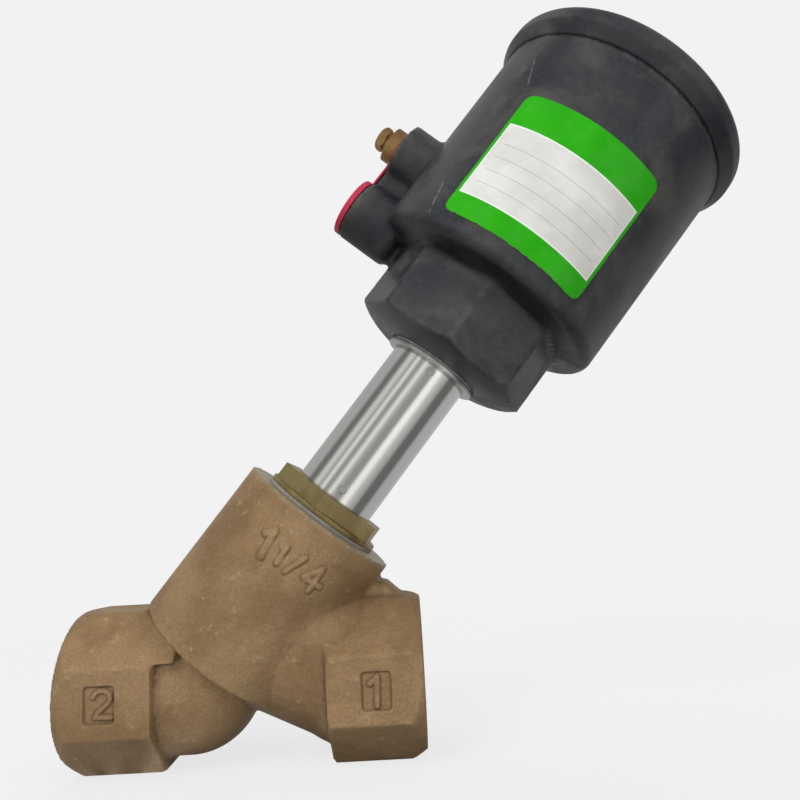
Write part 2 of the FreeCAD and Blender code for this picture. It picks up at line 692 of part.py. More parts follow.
def port_boss(radius, height):
    """Round boss for a threaded insert, rounded where it leaves the casing's underside."""
    boss = rod(radius, boss_foot, port_face)
    rims = [e for e in boss.Edges if e.isClosed()]
    low = [e for e in rims if e.BoundBox.ZMax < (boss_foot + port_face) / 2]
    return out_of_port(boss.makeFillet(BOSS_ROUND, low), height)


def port_bores(insert_radius, insert_length, recess_radius, recess_depth, airway_end, height):
    """Stepped hole of a port, from its mouth to the space inside the casing."""
    insert_end = port_face - recess_depth - insert_length
    steps = [(0, airway_end), (AIRWAY_RADIUS, airway_end)]
    steps += [(AIRWAY_RADIUS, insert_end), (insert_radius, insert_end)]
    steps += [(insert_radius, port_face - recess_depth), (recess_radius, port_face - recess_depth)]
    steps += [(recess_radius, port_face + OVERCUT), (0, port_face + OVERCUT)]
    return out_of_port(turned(steps), height)


def casing():
    """Moulded actuator casing: cylinder, floor, hub on the tube, octagon foot and ports."""
    washer_recess = flange_top + THRUST_WASHER_THICKNESS + FACE_GAP
    hub_wall = hub_bore + HUB_WALL
    pocket_bottom = hub_top - POCKET_DEPTH
    recess_radius = thrust_washer_radius + LOOSE_FIT
    over = casing_top + OVERCUT
    under = casing_bottom - OVERCUT
    steps = [(0, under), (recess_radius, under), (recess_radius, washer_recess)]
    steps += [(hub_bore, washer_recess), (hub_bore, hub_top), (hub_wall, hub_top), (hub_wall, pocket_bottom)]
    steps += [(POCKET_RADIUS, pocket_bottom), (POCKET_RADIUS, floor_top), (CYLINDER_RADIUS, floor_top)]
    steps += [(CYLINDER_RADIUS, over), (0, over)]
    shell = casing_outside().cut(turned(steps))
    half = HUB_SEAL_WIRE + FACE_GAP
    groove = hub_bore + 2 * HUB_SEAL_WIRE
    for height in hub_seal_places():
        shell = shell.cut(ring(groove, hub_bore, height - half, height + half))
    pocket_end = POCKET_RADIUS - HUB_WALL / 2
    bore_end = CYLINDER_RADIUS - HUB_WALL / 2
    lower = port_bores(PILOT_INSERT_RADIUS, PILOT_INSERT_LENGTH, PILOT_RECESS_RADIUS, PILOT_RECESS_DEPTH,
                       pocket_end, lower_port)
    upper = port_bores(VENT_INSERT_RADIUS, VENT_INSERT_LENGTH, VENT_RECESS_RADIUS, VENT_RECESS_DEPTH,
                       bore_end, upper_port)
    return shell.cut([lower, upper]).removeSplitter()


def port_insert(outer, inner, length, depth, height):
    """Threaded brass insert, seated depth below the boss face."""
    end = port_face - depth
    return out_of_port(ring(outer, inner, end - length, end), height)


def vent():
    """Brass vent: threaded spigot, round flange, neck with a cross hole, and a hexagon head."""
    flange_foot = port_face + 2 * FACE_GAP + STRAP_THICKNESS
    flange_end = flange_foot + VENT_FLANGE_THICKNESS
    neck_end = flange_end + VENT_NECK_LENGTH
    head_end = neck_end + VENT_HEAD_LENGTH
    spigot = VENT_THREAD_RADIUS - THREAD_CLEARANCE
    spigot_end = port_face - VENT_SPIGOT_LENGTH
    steps = [(0, spigot_end), (spigot, spigot_end), (spigot, flange_foot), (VENT_FLANGE_RADIUS, flange_foot)]
    steps += [(VENT_FLANGE_RADIUS, flange_end), (VENT_NECK_RADIUS, flange_end)]
    steps += [(VENT_NECK_RADIUS, neck_end), (0, neck_end)]
    head = hex_block(VENT_HEAD_FLATS, neck_end, head_end)
    bore = rod(VENT_BORE_RADIUS, spigot_end, neck_end)
    middle = (flange_end + neck_end) / 2
    near = V(0, -VENT_NECK_RADIUS, middle)
    across = Part.makeCylinder(VENT_HOLE_RADIUS, 2 * VENT_NECK_RADIUS, near, V(0, 1, 0))
    return out_of_port(turned(steps).fuse(head).cut([bore, across]), upper_port)


def strap_foot():
    """Distance of the strap's inner face from the casing's axis."""
    return port_face + FACE_GAP


def pilot_plug():
    """Transport plug: flange, tapered spigot and the strap as far as its hinge line."""
    foot = strap_foot()
    end = foot - PLUG_SPIGOT_LENGTH
    thin = PLUG_SPIGOT_RADIUS - PLUG_SPIGOT_TAPER
    steps = [(0, end), (thin, end), (PLUG_SPIGOT_RADIUS, foot), (PLUG_RADIUS, foot)]
    steps += [(PLUG_RADIUS, foot + PLUG_THICKNESS), (0, foot + PLUG_THICKNESS)]
    plug = out_of_port(turned(steps), lower_port)
    strap = Part.makeBox(STRAP_THICKNESS, STRAP_WIDTH, STRAP_HINGE_HEIGHT - PLUG_RADIUS / 2,
                         V(-foot - STRAP_THICKNESS, -STRAP_WIDTH / 2, lower_port + PLUG_RADIUS / 2))
    return plug.fuse(strap).removeSplitter()


def strap_loop():
    """Upper end of the strap, held round the vent's spigot."""
    foot = strap_foot()
    hole = VENT_THREAD_RADIUS + FACE_GAP
    eye = out_of_port(rod(STRAP_EYE_RADIUS, foot, foot + STRAP_THICKNESS), upper_port)
    hinge = lower_port + STRAP_HINGE_HEIGHT
    tail = Part.makeBox(STRAP_THICKNESS, STRAP_WIDTH, upper_port - hinge,
                        V(-foot - STRAP_THICKNESS, -STRAP_WIDTH / 2, hinge))
    opening = out_of_port(rod(hole, foot - OVERCUT, foot + STRAP_THICKNESS + OVERCUT), upper_port)
    return eye.fuse(tail).removeSplitter().cut(opening)


def cap():
    """Screwed cap with a flared rim, a spigot in the cylinder and a well for the indicator."""
    spigot = CYLINDER_RADIUS - THREAD_CLEARANCE
    spigot_bore = spigot - CAP_SPIGOT_WALL
    spigot_bottom = casing_top - CAP_SPIGOT_LENGTH
    boss_bottom = cap_ceiling - CAP_BOSS_DROP
    well_bottom = cap_top - FLAG_WELL_DEPTH
    dome_seat = cap_top - DOME_FLANGE_THICKNESS - DOME_SEAL_THICKNESS
    dome_hole = DOME_FLANGE_RADIUS + FACE_GAP
    rod_hole = INDICATOR_ROD_RADIUS + LOOSE_FIT
    cut = CAP_CORNER * (1 - math.sqrt(0.5))
    steps = [(rod_hole, boss_bottom), (CAP_BOSS_RADIUS, boss_bottom), (CAP_BOSS_RADIUS, cap_ceiling)]
    steps += [(spigot_bore, cap_ceiling), (spigot_bore, spigot_bottom), (spigot, spigot_bottom)]
    steps += [(spigot, casing_top), (cap_seam_radius, casing_top)]
    steps += [(cap_radius, casing_top + CAP_FLARE_HEIGHT), (cap_radius, cap_top - CAP_CORNER)]
    steps += [(cap_radius - cut, cap_top - cut, cap_radius - CAP_CORNER, cap_top)]
    steps += [(dome_hole, cap_top), (dome_hole, dome_seat), (FLAG_WELL_RADIUS, dome_seat)]
    steps += [(FLAG_WELL_RADIUS, well_bottom), (rod_hole, well_bottom)]
    middle = casing_top - CAP_SPIGOT_LENGTH / 2
    half = CAP_SEAL_WIRE + FACE_GAP
    groove = ring(spigot + OVERCUT, spigot - 2 * CAP_SEAL_WIRE, middle - half, middle + half)
    return turned(steps).cut(groove)


def dome():
    """Clear dome over the indicator flag."""
    foot = cap_top - DOME_FLANGE_THICKNESS
    top = dome_top
    inner = DOME_RADIUS - DOME_WALL
    small = DOME_CORNER - DOME_WALL
    cut = DOME_CORNER * (1 - math.sqrt(0.5))
    nick = small * (1 - math.sqrt(0.5))
    under = top - DOME_WALL
    steps = [(inner, foot), (DOME_FLANGE_RADIUS, foot), (DOME_FLANGE_RADIUS, cap_top)]
    steps += [(DOME_RADIUS, cap_top), (DOME_RADIUS, top - DOME_CORNER)]
    steps += [(DOME_RADIUS - cut, top - cut, DOME_RADIUS - DOME_CORNER, top), (0, top), (0, under)]
    steps += [(inner - small, under), (inner - nick, under - nick, inner, under - small)]
    return turned(steps)


def indicator():
    """Indicator rod screwed into the stem, with its flag on top."""
    foot = stem_top - INDICATOR_SPIGOT_LENGTH
    steps = [(0, foot), (INDICATOR_SPIGOT_RADIUS, foot), (INDICATOR_SPIGOT_RADIUS, stem_top)]
    steps += [(INDICATOR_ROD_RADIUS, stem_top), (INDICATOR_ROD_RADIUS, flag_bottom)]
    steps += [(FLAG_RADIUS, flag_bottom), (FLAG_RADIUS, flag_top - FLAG_CORNER)]
    steps += [(FLAG_RADIUS - FLAG_CORNER, flag_top), (0, flag_top)]
    return turned(steps)


def label():
    """Thin plate that follows the casing's front, with rounded corners."""
    low = casing_bottom + LABEL_BOTTOM
    high = low + LABEL_HEIGHT
    back = LABEL_GLUE
    front = LABEL_GLUE + LABEL_THICKNESS
    steps = [(casing_radius(low) + back, low), (casing_radius(low) + front, low)]
    steps += [(casing_radius(high) + front, high), (casing_radius(high) + back, high)]
    skin = turned(steps)
    window = rounded_plate(2 * LABEL_HALF_WIDTH, LABEL_HEIGHT, LABEL_CORNER, cap_radius)
    window.translate(V(0, -cap_radius, (low + high) / 2))
    window.rotate(V(0, 0, 0), UP, LABEL_AZIMUTH - ACTUATOR_TURN)
    return skin.common(window)


def save(name, shape):
    """Writes one piece and says what it is."""
    solids = len(shape.Solids)
    print(name, "solids", solids, "volume", round(shape.Volume, 1), "valid", shape.isValid())
    shape.exportStep("parts/" + name + ".step")


def save_body_pieces():
    """Pieces that stay with the pipe."""
    save("valve_body", valve_body())
    save("bonnet_gasket", on_neck(ring(BONNET_COLLAR_RADIUS, NECK_THREAD_RADIUS, neck_top, collar_bottom)))
    save("bonnet", on_neck(bonnet()))
    outer = WIPER_RADIUS - THREAD_CLEARANCE
    save("stem_wiper", on_neck(ring(outer, stem_hole, bonnet_nose, bush_bottom)))
    outer = LOWER_BUSH_RADIUS - THREAD_CLEARANCE
    save("lower_guide_bush", on_neck(ring(outer, stem_hole, bush_bottom, packing_bottom)))
    outer = PACKING_RADIUS - THREAD_CLEARANCE
    save("packing_base", on_neck(ring(outer, stem_hole, packing_bottom, rings_bottom)))
    for number in range(PACKING_RINGS):
        bottom = rings_bottom + number * PACKING_RING_THICKNESS
        save("packing_ring_" + str(number + 1), on_neck(packing_ring(bottom)))
    save("packing_gland", on_neck(ring(outer, stem_hole, gland_bottom, gland_top)))
    stop_bottom = lower_pin - SPRING_STOP_THICKNESS / 2
    mean = PACKING_RADIUS - PACKING_WIRE_RADIUS - LOOSE_FIT
    spring = coil(mean, PACKING_WIRE_RADIUS, gland_top + SPRING_END_GAP, stop_bottom - SPRING_END_GAP,
                  PACKING_SPRING_TURNS)
    save("packing_spring", on_neck(spring))
    stop = pinned_ring(STEM_RADIUS + LOOSE_FIT, lower_pin, SPRING_STOP_THICKNESS)
    save("packing_spring_stop", on_neck(stop))
    save("upper_guide_bush", on_neck(pinned_ring(stem_hole, upper_pin, UPPER_BUSH_LENGTH)))
    save("housing_tube", on_neck(housing_tube()))
    save("lower_tube_pin", on_neck(pin_hole(PIN_RADIUS, lower_pin, PIN_REACH)))
    save("upper_tube_pin", on_neck(pin_hole(PIN_RADIUS, upper_pin, PIN_REACH)))
    save("tube_flange", on_neck(ring(tube_flange_radius, TUBE_RADIUS, flange_bottom, flange_top)))
    washer_top = flange_top + THRUST_WASHER_THICKNESS
    save("thrust_washer", on_neck(ring(thrust_washer_radius, TUBE_RADIUS, flange_top, washer_top)))
    head_washer = ring(head_washer_radius, TUBE_RADIUS, head_washer_bottom, head_nut_bottom)
    save("head_washer", on_neck(head_washer))
    head_nut = hex_block(head_nut_flats, head_nut_bottom, tube_top)
    save("head_nut", on_neck(head_nut.cut(rod(TUBE_RADIUS, head_nut_bottom, tube_top))))


def save_stem_pieces():
    """Pieces that rise and fall with the stem."""
    save("stem", on_neck(stem()))
    save("disc_holder", on_neck(disc_holder()))
    save("seat_disc", on_neck(ring(DISC_RADIUS, thread_hole, SEAT_HEIGHT, disc_top)))
    save("disc_washer", on_neck(ring(NUT_WASHER_RADIUS, thread_hole, disc_washer_bottom, SEAT_HEIGHT)))
    save("disc_nut", on_neck(nut(disc_nut_bottom)))
    save("piston", on_neck(piston()))
    save("piston_lip_seal", on_neck(lip_seal()))
    save("piston_guide_band", on_neck(guide_band()))
    seal_height = piston_bottom + STEM_SEAL_WIRE
    stem_seal = torus(STEM_THREAD_RADIUS + STEM_SEAL_WIRE, STEM_SEAL_WIRE, seal_height)
    save("piston_stem_seal", on_neck(stem_seal))
    save("piston_washer", on_neck(ring(NUT_WASHER_RADIUS, thread_hole, piston_top, piston_nut_bottom)))
    save("piston_nut", on_neck(nut(piston_nut_bottom)))
    save("position_indicator", on_neck(indicator()))


def save_actuator_pieces():
    """Pieces that turn with the actuator."""
    save("actuator_casing", on_actuator(casing()))
    for number, height in enumerate(hub_seal_places()):
        save("hub_seal_" + str(number + 1), on_neck(torus(hub_bore + HUB_SEAL_WIRE, HUB_SEAL_WIRE, height)))
    outer = coil(outer_spring_radius, OUTER_WIRE_RADIUS, spring_bottom, spring_top, OUTER_SPRING_TURNS)
    save("outer_spring", on_actuator(outer))
    inner = coil(INNER_SPRING_RADIUS, INNER_WIRE_RADIUS, spring_bottom, spring_top, INNER_SPRING_TURNS)
    save("inner_spring", on_actuator(inner))
    plate_radius = CYLINDER_RADIUS - CAP_SPIGOT_WALL - LOOSE_FIT
    save("spring_plate", on_neck(ring(plate_radius, SPRING_PLATE_BORE, spring_plate_bottom, cap_ceiling)))
    save("actuator_cap", on_neck(cap()))
    seal_radius = CYLINDER_RADIUS - THREAD_CLEARANCE - CAP_SEAL_WIRE
    save("cap_seal", on_neck(torus(seal_radius, CAP_SEAL_WIRE, casing_top - CAP_SPIGOT_LENGTH / 2)))
    dome_foot = cap_top - DOME_FLANGE_THICKNESS
    dome_seat = dome_foot - DOME_SEAL_THICKNESS
    save("dome_seal", on_neck(ring(DOME_FLANGE_RADIUS, FLAG_WELL_RADIUS, dome_seat, dome_foot)))
    save("indicator_dome", on_neck(dome()))
    pilot = port_insert(PILOT_INSERT_RADIUS, PILOT_THREAD_RADIUS, PILOT_INSERT_LENGTH,
                        PILOT_RECESS_DEPTH, lower_port)
    save("pilot_insert", on_actuator(pilot))
    sleeve = port_insert(VENT_INSERT_RADIUS, VENT_THREAD_RADIUS, VENT_INSERT_LENGTH,
                         VENT_RECESS_DEPTH, upper_port)
    save("vent_insert", on_actuator(sleeve))
    save("exhaust_vent", on_actuator(vent()))
    save("strap_loop", on_actuator(strap_loop()))
    save("pilot_plug", on_actuator(pilot_plug()))
    save("label", on_actuator(label()))


save_body_pieces()
save_stem_pieces()
save_actuator_pieces()
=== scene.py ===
# %% [markdown]
# # An angle seat valve, dressed on its engineering model
# The engineering model of the valve is loaded as a fixed frame. It already has every piece at its
# true size and place. This lesson gives it the surfaces of the real thing: a sand-cast bronze body,
# a polished tube, a dusty black moulding, a worn label. Lengths are in metres.
# %% Load the fixed frame
import json
import math
import bmesh
import bpy
import numpy as np
from mathutils import Matrix, Vector, noise


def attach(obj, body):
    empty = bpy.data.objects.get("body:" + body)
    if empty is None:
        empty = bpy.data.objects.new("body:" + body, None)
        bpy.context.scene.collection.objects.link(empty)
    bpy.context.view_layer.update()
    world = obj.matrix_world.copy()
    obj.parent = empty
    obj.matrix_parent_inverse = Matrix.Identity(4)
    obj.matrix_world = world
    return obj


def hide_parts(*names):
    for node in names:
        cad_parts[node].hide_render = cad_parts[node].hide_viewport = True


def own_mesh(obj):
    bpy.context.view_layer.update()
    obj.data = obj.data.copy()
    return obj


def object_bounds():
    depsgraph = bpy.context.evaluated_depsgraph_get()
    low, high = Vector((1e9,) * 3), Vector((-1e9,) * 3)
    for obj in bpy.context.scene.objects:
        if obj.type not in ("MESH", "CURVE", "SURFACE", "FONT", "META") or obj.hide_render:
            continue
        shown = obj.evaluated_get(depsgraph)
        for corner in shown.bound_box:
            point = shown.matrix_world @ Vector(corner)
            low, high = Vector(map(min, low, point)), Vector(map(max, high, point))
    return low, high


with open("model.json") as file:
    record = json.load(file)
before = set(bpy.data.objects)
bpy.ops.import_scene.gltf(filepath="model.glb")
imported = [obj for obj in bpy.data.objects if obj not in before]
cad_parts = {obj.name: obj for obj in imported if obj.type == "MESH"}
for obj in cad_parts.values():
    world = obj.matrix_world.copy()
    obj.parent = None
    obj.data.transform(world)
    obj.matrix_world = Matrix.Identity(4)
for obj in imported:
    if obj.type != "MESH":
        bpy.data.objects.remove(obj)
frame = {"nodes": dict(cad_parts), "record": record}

MM = 0.001
CAD_LOW, CAD_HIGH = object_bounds()
print("loaded", len(frame["nodes"]), "pieces, box", [round(v, 4) for v in CAD_HIGH - CAD_LOW])

# %% [markdown]
# ## Places
# The neck of the valve leans over. Anything turned on a lathe is easiest to measure upright about Z,
# so one matrix carries upright shapes to their places on the neck, and its inverse brings the pieces
# of the frame upright.
# %% Matrix for the leaning neck
NECK_LEAN = math.radians(39.5)
NECK_FOOT = 36.5 * MM
on_neck = Matrix.Translation((NECK_FOOT, 0, 0)) @ Matrix.Rotation(NECK_LEAN, 4, "Y")
across_neck = on_neck.to_3x3() @ Vector((1, 0, 0))
neck_axis = on_neck.to_3x3() @ Vector((0, 0, 1))
print("neck axis", [round(v, 4) for v in neck_axis])

# %% [markdown]
# ## Camera
# The viewpoint was solved from measured points of the photograph, so it is written here as a
# position and three axes. A camera looks along its own -Z with +Y up.
# %% Camera from the solved viewpoint
RIGHT = Vector((0.99861, 0.00483, -0.05253))
UP = Vector((0.05268, -0.14263, 0.98837))
BACK = RIGHT.cross(UP)
VIEWPOINT = (0.10643, -0.24123, 0.05383)
FOCAL_LENGTH = 31.984
camera_data = bpy.data.cameras.new("camera")
camera_data.lens = FOCAL_LENGTH
camera_data.sensor_width = 36.0
camera_data.clip_start = 0.01
camera = bpy.data.objects.new("camera", camera_data)
bpy.context.scene.collection.objects.link(camera)
camera.matrix_world = Matrix((RIGHT, UP, BACK)).transposed().to_4x4()
camera.location = VIEWPOINT
bpy.context.scene.camera = camera
print("camera", [round(v, 4) for v in camera.location])

# %% [markdown]
# ## Small helpers
# Four jobs come back for every piece: linking a mesh as an object, taking a clean copy of a CAD
# node's mesh, turning the evaluated result of modifiers into a plain mesh, and giving the finished
# piece its material and its place among the moving bodies.
# %% Helpers for objects and meshes
WELD_GAP = 2e-6


def add_object(name, data):
    """Links a mesh or a lamp as an object at the origin."""
    made = bpy.data.objects.new(name, data)
    bpy.context.scene.collection.objects.link(made)
    return made


def welded_copy(node, join_flats=False):
    """Copy of a CAD node's mesh whose loose triangles are joined, and its flats where wanted."""
    bm = bmesh.new()
    bm.from_mesh(frame["nodes"][node].data)
    bmesh.ops.remove_doubles(bm, verts=bm.verts, dist=WELD_GAP)
    if join_flats:
        bmesh.ops.dissolve_limit(bm, angle_limit=math.radians(0.4), verts=bm.verts, edges=bm.edges)
    mesh = bpy.data.meshes.new(node + "_copy")
    bm.to_mesh(mesh)
    bm.free()
    return mesh


def settle(made):
    """Replaces an object's mesh and modifiers with the plain mesh that they give."""
    graph = bpy.context.evaluated_depsgraph_get()
    result = bpy.data.meshes.new_from_object(made.evaluated_get(graph))
    made.modifiers.clear()
    made.data = result
    return made


def dress(made, material, body, slot, *nodes):
    """Gives a finished piece its material, its body and the CAD nodes it stands for."""
    made.data.materials.clear()
    made.data.materials.append(material)
    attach(made, body)
    if nodes:
        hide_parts(*nodes)
    print(made.name, len(made.data.polygons), "faces")
    return made

# %% [markdown]
# ## Shader groups
# Grain, dust, wear with painted shade, and scratches turn up in several finishes. Each is a node group
# with named inputs, built once. A group gives out only colours and masks. The shader itself stays in the
# material.
# %% A short way to write node groups
def new_group(name, inputs, outputs):
    """Empty shader group with named sockets. An input is (name, socket kind, value)."""
    group = bpy.data.node_groups.new(name, "ShaderNodeTree")
    for label, kind, value in inputs:
        socket = group.interface.new_socket(label, in_out="INPUT", socket_type="NodeSocket" + kind)
        if value is not None:
            socket.default_value = value
    for label, kind in outputs:
        group.interface.new_socket(label, in_out="OUTPUT", socket_type="NodeSocket" + kind)
    entry = group.nodes.new("NodeGroupInput")
    leave = group.nodes.new("NodeGroupOutput")
    return group, entry, leave


def add_node(tree, kind, inputs=None, **settings):
    """Adds a node, sets its settings, and fills its inputs with values or links."""
    node = tree.nodes.new(kind)
    for key, value in settings.items():
        setattr(node, key, value)
    for key, value in (inputs or {}).items():
        if isinstance(value, bpy.types.NodeSocket):
            tree.links.new(value, node.inputs[key])
        else:
            node.inputs[key].default_value = value
    return node


print("group and node helpers ready")

# %% Sums, mixes and noise in one line each
def calc(tree, operation, *values, clamp=False):
    """Maths node on numbers or sockets, and its result."""
    inputs = dict(enumerate(values))
    return add_node(tree, "ShaderNodeMath", inputs, operation=operation, use_clamp=clamp).outputs[0]


def times(tree, first, *others, clamp=False):
    """Product of numbers and sockets."""
    for other in others:
        first = calc(tree, "MULTIPLY", first, other, clamp=clamp)
    return first


def vector_calc(tree, operation, first, second):
    """Vector maths node on two vectors."""
    return add_node(tree, "ShaderNodeVectorMath", {0: first, 1: second}, operation=operation)


def noise_of(tree, at, scale, **inputs):
    """Value of a noise texture at a place."""
    return add_node(tree, "ShaderNodeTexNoise", {"Vector": at, "Scale": scale} | inputs).outputs["Fac"]


def blend(tree, share, first, second):
    """Mix of two colours by a share."""
    node = add_node(tree, "ShaderNodeMix", {0: share, 6: first, 7: second}, data_type="RGBA")
    return node.outputs[2]


def ramp(tree, value, low, high):
    """Soft step that rises from 0 at low to 1 at high."""
    inputs = {"Value": value, "From Min": low, "From Max": high}
    return add_node(tree, "ShaderNodeMapRange", inputs, interpolation_type="SMOOTHSTEP").outputs[0]


def use_group(tree, group, **inputs):
    """Places a node group and fills its named inputs."""
    named = {label.replace("_", " "): value for label, value in inputs.items()}
    return add_node(tree, "ShaderNodeGroup", named, node_tree=group)


def send_out(tree, leave, **values):
    """Links results to the named outputs of a group."""
    for label, value in values.items():
        tree.links.new(value, leave.inputs[label])


print("value helpers ready")

# %% Grain: fine speckle over broad patches
def make_grain():
    """Fine speckle and broad patches, as a mask and a height."""
    inputs = [("Vector", "Vector", None), ("Fine", "Float", 1800.0), ("Broad", "Float", 60.0)]
    outputs = [("Speckle", "Float"), ("Patches", "Float"), ("Height", "Float")]
    group, entry, leave = new_group("grain", inputs, outputs)
    at = entry.outputs["Vector"]
    fine = noise_of(group, at, entry.outputs["Fine"], Detail=2.0, Roughness=0.6)
    broad = noise_of(group, at, entry.outputs["Broad"], Detail=4.0, Roughness=0.55)
    lumps = noise_of(group, at, times(group, entry.outputs["Fine"], 0.3), Detail=2.0)
    height = calc(group, "ADD", times(group, fine, 0.6), lumps)
    speckle = ramp(group, fine, 0.35, 0.65)
    send_out(group, leave, Speckle=speckle, Patches=ramp(group, broad, 0.35, 0.65), Height=height)
    return group


grain = make_grain()
print("group", grain.name, [s.name for s in grain.interface.items_tree])

# %% Wear and shade: bright worn edges, and painted shade in the hollows, from what the mesh knows of its own shape
def make_wear_and_shade():
    """Masks for worn edges, broken up by noise, and for painted shade in hollows."""
    inputs = [("Vector", "Vector", None), ("Edge Amount", "Float", 1.0), ("Hollow Amount", "Float", 1.0)]
    outputs = [("Edges", "Float"), ("Hollows", "Float")]
    group, entry, leave = new_group("wear_and_shade", inputs, outputs)
    edge = add_node(group, "ShaderNodeAttribute", attribute_name="edge").outputs["Fac"]
    painted_shade = add_node(group, "ShaderNodeAttribute", attribute_name="painted_shade").outputs["Fac"]
    broken = ramp(group, noise_of(group, entry.outputs["Vector"], 350.0, Detail=4.0), 0.3, 0.7)
    worn = times(group, times(group, edge, broken), entry.outputs["Edge Amount"], clamp=True)
    shade_mask = times(group, painted_shade, entry.outputs["Hollow Amount"], clamp=True)
    send_out(group, leave, Edges=worn, Hollows=shade_mask)
    return group


wear_and_shade = make_wear_and_shade()
print("group", wear_and_shade.name)

# %% Dust and scratches: cloudy deposits, and single straight lines
def make_dust():
    """Cloudy dust mask with small settled specks."""
    inputs = [("Vector", "Vector", None), ("Cloud", "Float", 45.0), ("Amount", "Float", 0.5)]
    group, entry, leave = new_group("dust", inputs, [("Dust", "Float")])
    at = entry.outputs["Vector"]
    cloud = noise_of(group, at, entry.outputs["Cloud"], Detail=6.0, Roughness=0.65, Distortion=0.4)
    specks = add_node(group, "ShaderNodeTexVoronoi", {"Vector": at, "Scale": 420.0}).outputs["Distance"]
    specks = times(group, ramp(group, specks, 0.16, 0.05), 0.35)
    total = calc(group, "ADD", ramp(group, cloud, 0.42, 0.72), specks)
    send_out(group, leave, Dust=times(group, total, entry.outputs["Amount"], clamp=True))
    return group


def make_scratch():
    """Mask of one thin straight scratch between two points of the object."""
    inputs = [("Vector", "Vector", None), ("From", "Vector", None), ("To", "Vector", None),
              ("Width", "Float", 0.3 * MM)]
    group, entry, leave = new_group("scratch", inputs, [("Line", "Float")])
    at, first, last = (entry.outputs[label] for label in ("Vector", "From", "To"))
    along = vector_calc(group, "SUBTRACT", last, first).outputs[0]
    offset = vector_calc(group, "SUBTRACT", at, first).outputs[0]
    reach = vector_calc(group, "DOT_PRODUCT", along, along).outputs["Value"]
    done = vector_calc(group, "DOT_PRODUCT", offset, along).outputs["Value"]
    share = calc(group, "DIVIDE", done, reach, clamp=True)
    nearest = add_node(group, "ShaderNodeVectorMath", {0: along, "Scale": share}, operation="SCALE")
    gap = vector_calc(group, "DISTANCE", offset, nearest.outputs[0]).outputs["Value"]
    shiver = noise_of(group, at, 600.0)
    width = times(group, entry.outputs["Width"], calc(group, "ADD", shiver, 0.4))
    line = calc(group, "SUBTRACT", 1.0, calc(group, "DIVIDE", gap, width), clamp=True)
    send_out(group, leave, Line=times(group, line, ramp(group, shiver, 0.36, 0.52)))
    return group


dust = make_dust()
scratch = make_scratch()
print("groups", dust.name, scratch.name)

# %% Lathe: rings cut by a tool, seen from the neck's own axis
def make_lathe_marks():
    """Fine rings round an axis and streaks along it, for turned and drawn metal."""
    inputs = [("Vector", "Vector", None), ("Rings", "Float", 900.0), ("Streaks", "Float", 160.0)]
    outputs = [("Rings", "Float"), ("Streaks", "Float")]
    group, entry, leave = new_group("lathe_marks", inputs, outputs)
    # A Mapping of type TEXTURE undoes the neck's place: it subtracts the location, then turns back.
    upright = add_node(group, "ShaderNodeMapping", {"Vector": entry.outputs["Vector"],
                                                    "Location": (NECK_FOOT, 0.0, 0.0),
                                                    "Rotation": (0.0, NECK_LEAN, 0.0)}, vector_type="TEXTURE")
    stretches = {"Rings": (0.03, 0.03, 1.0), "Streaks": (1.0, 1.0, 0.012)}
    for label, stretch in stretches.items():
        drawn = add_node(group, "ShaderNodeMapping", {"Vector": upright.outputs[0], "Scale": stretch})
        send_out(group, leave, **{label: noise_of(group, drawn.outputs[0], entry.outputs[label], Detail=3.0)})
    return group


lathe_marks = make_lathe_marks()
print("group", lathe_marks.name)

# %% [markdown]
# ## Finishes
# Every material starts from one small recipe: object coordinates, a Principled shader, and a bump.
# %% The start of a material
def new_material(name, **constants):
    """Material with a Principled shader, its constant sockets set, and object coordinates."""
    material = bpy.data.materials.new(name)
    material.use_nodes = True
    tree = material.node_tree
    shader = tree.nodes["Principled BSDF"]
    for label, value in constants.items():
        shader.inputs[label.replace("_", " ")].default_value = value
    where = tree.nodes.new("ShaderNodeTexCoord").outputs["Object"]
    return material, tree, shader, where


def surface(tree, shader, colour, rough, height, relief):
    """Feeds the shader its colour, its roughness, and a bump whose relief is in metres."""
    raised = add_node(tree, "ShaderNodeBump", {"Height": height, "Distance": relief, "Strength": 1.0})
    for value, label in ((colour, "Base Color"), (rough, "Roughness"), (raised.outputs[0], "Normal")):
        tree.links.new(value, shader.inputs[label])


finishes = {}
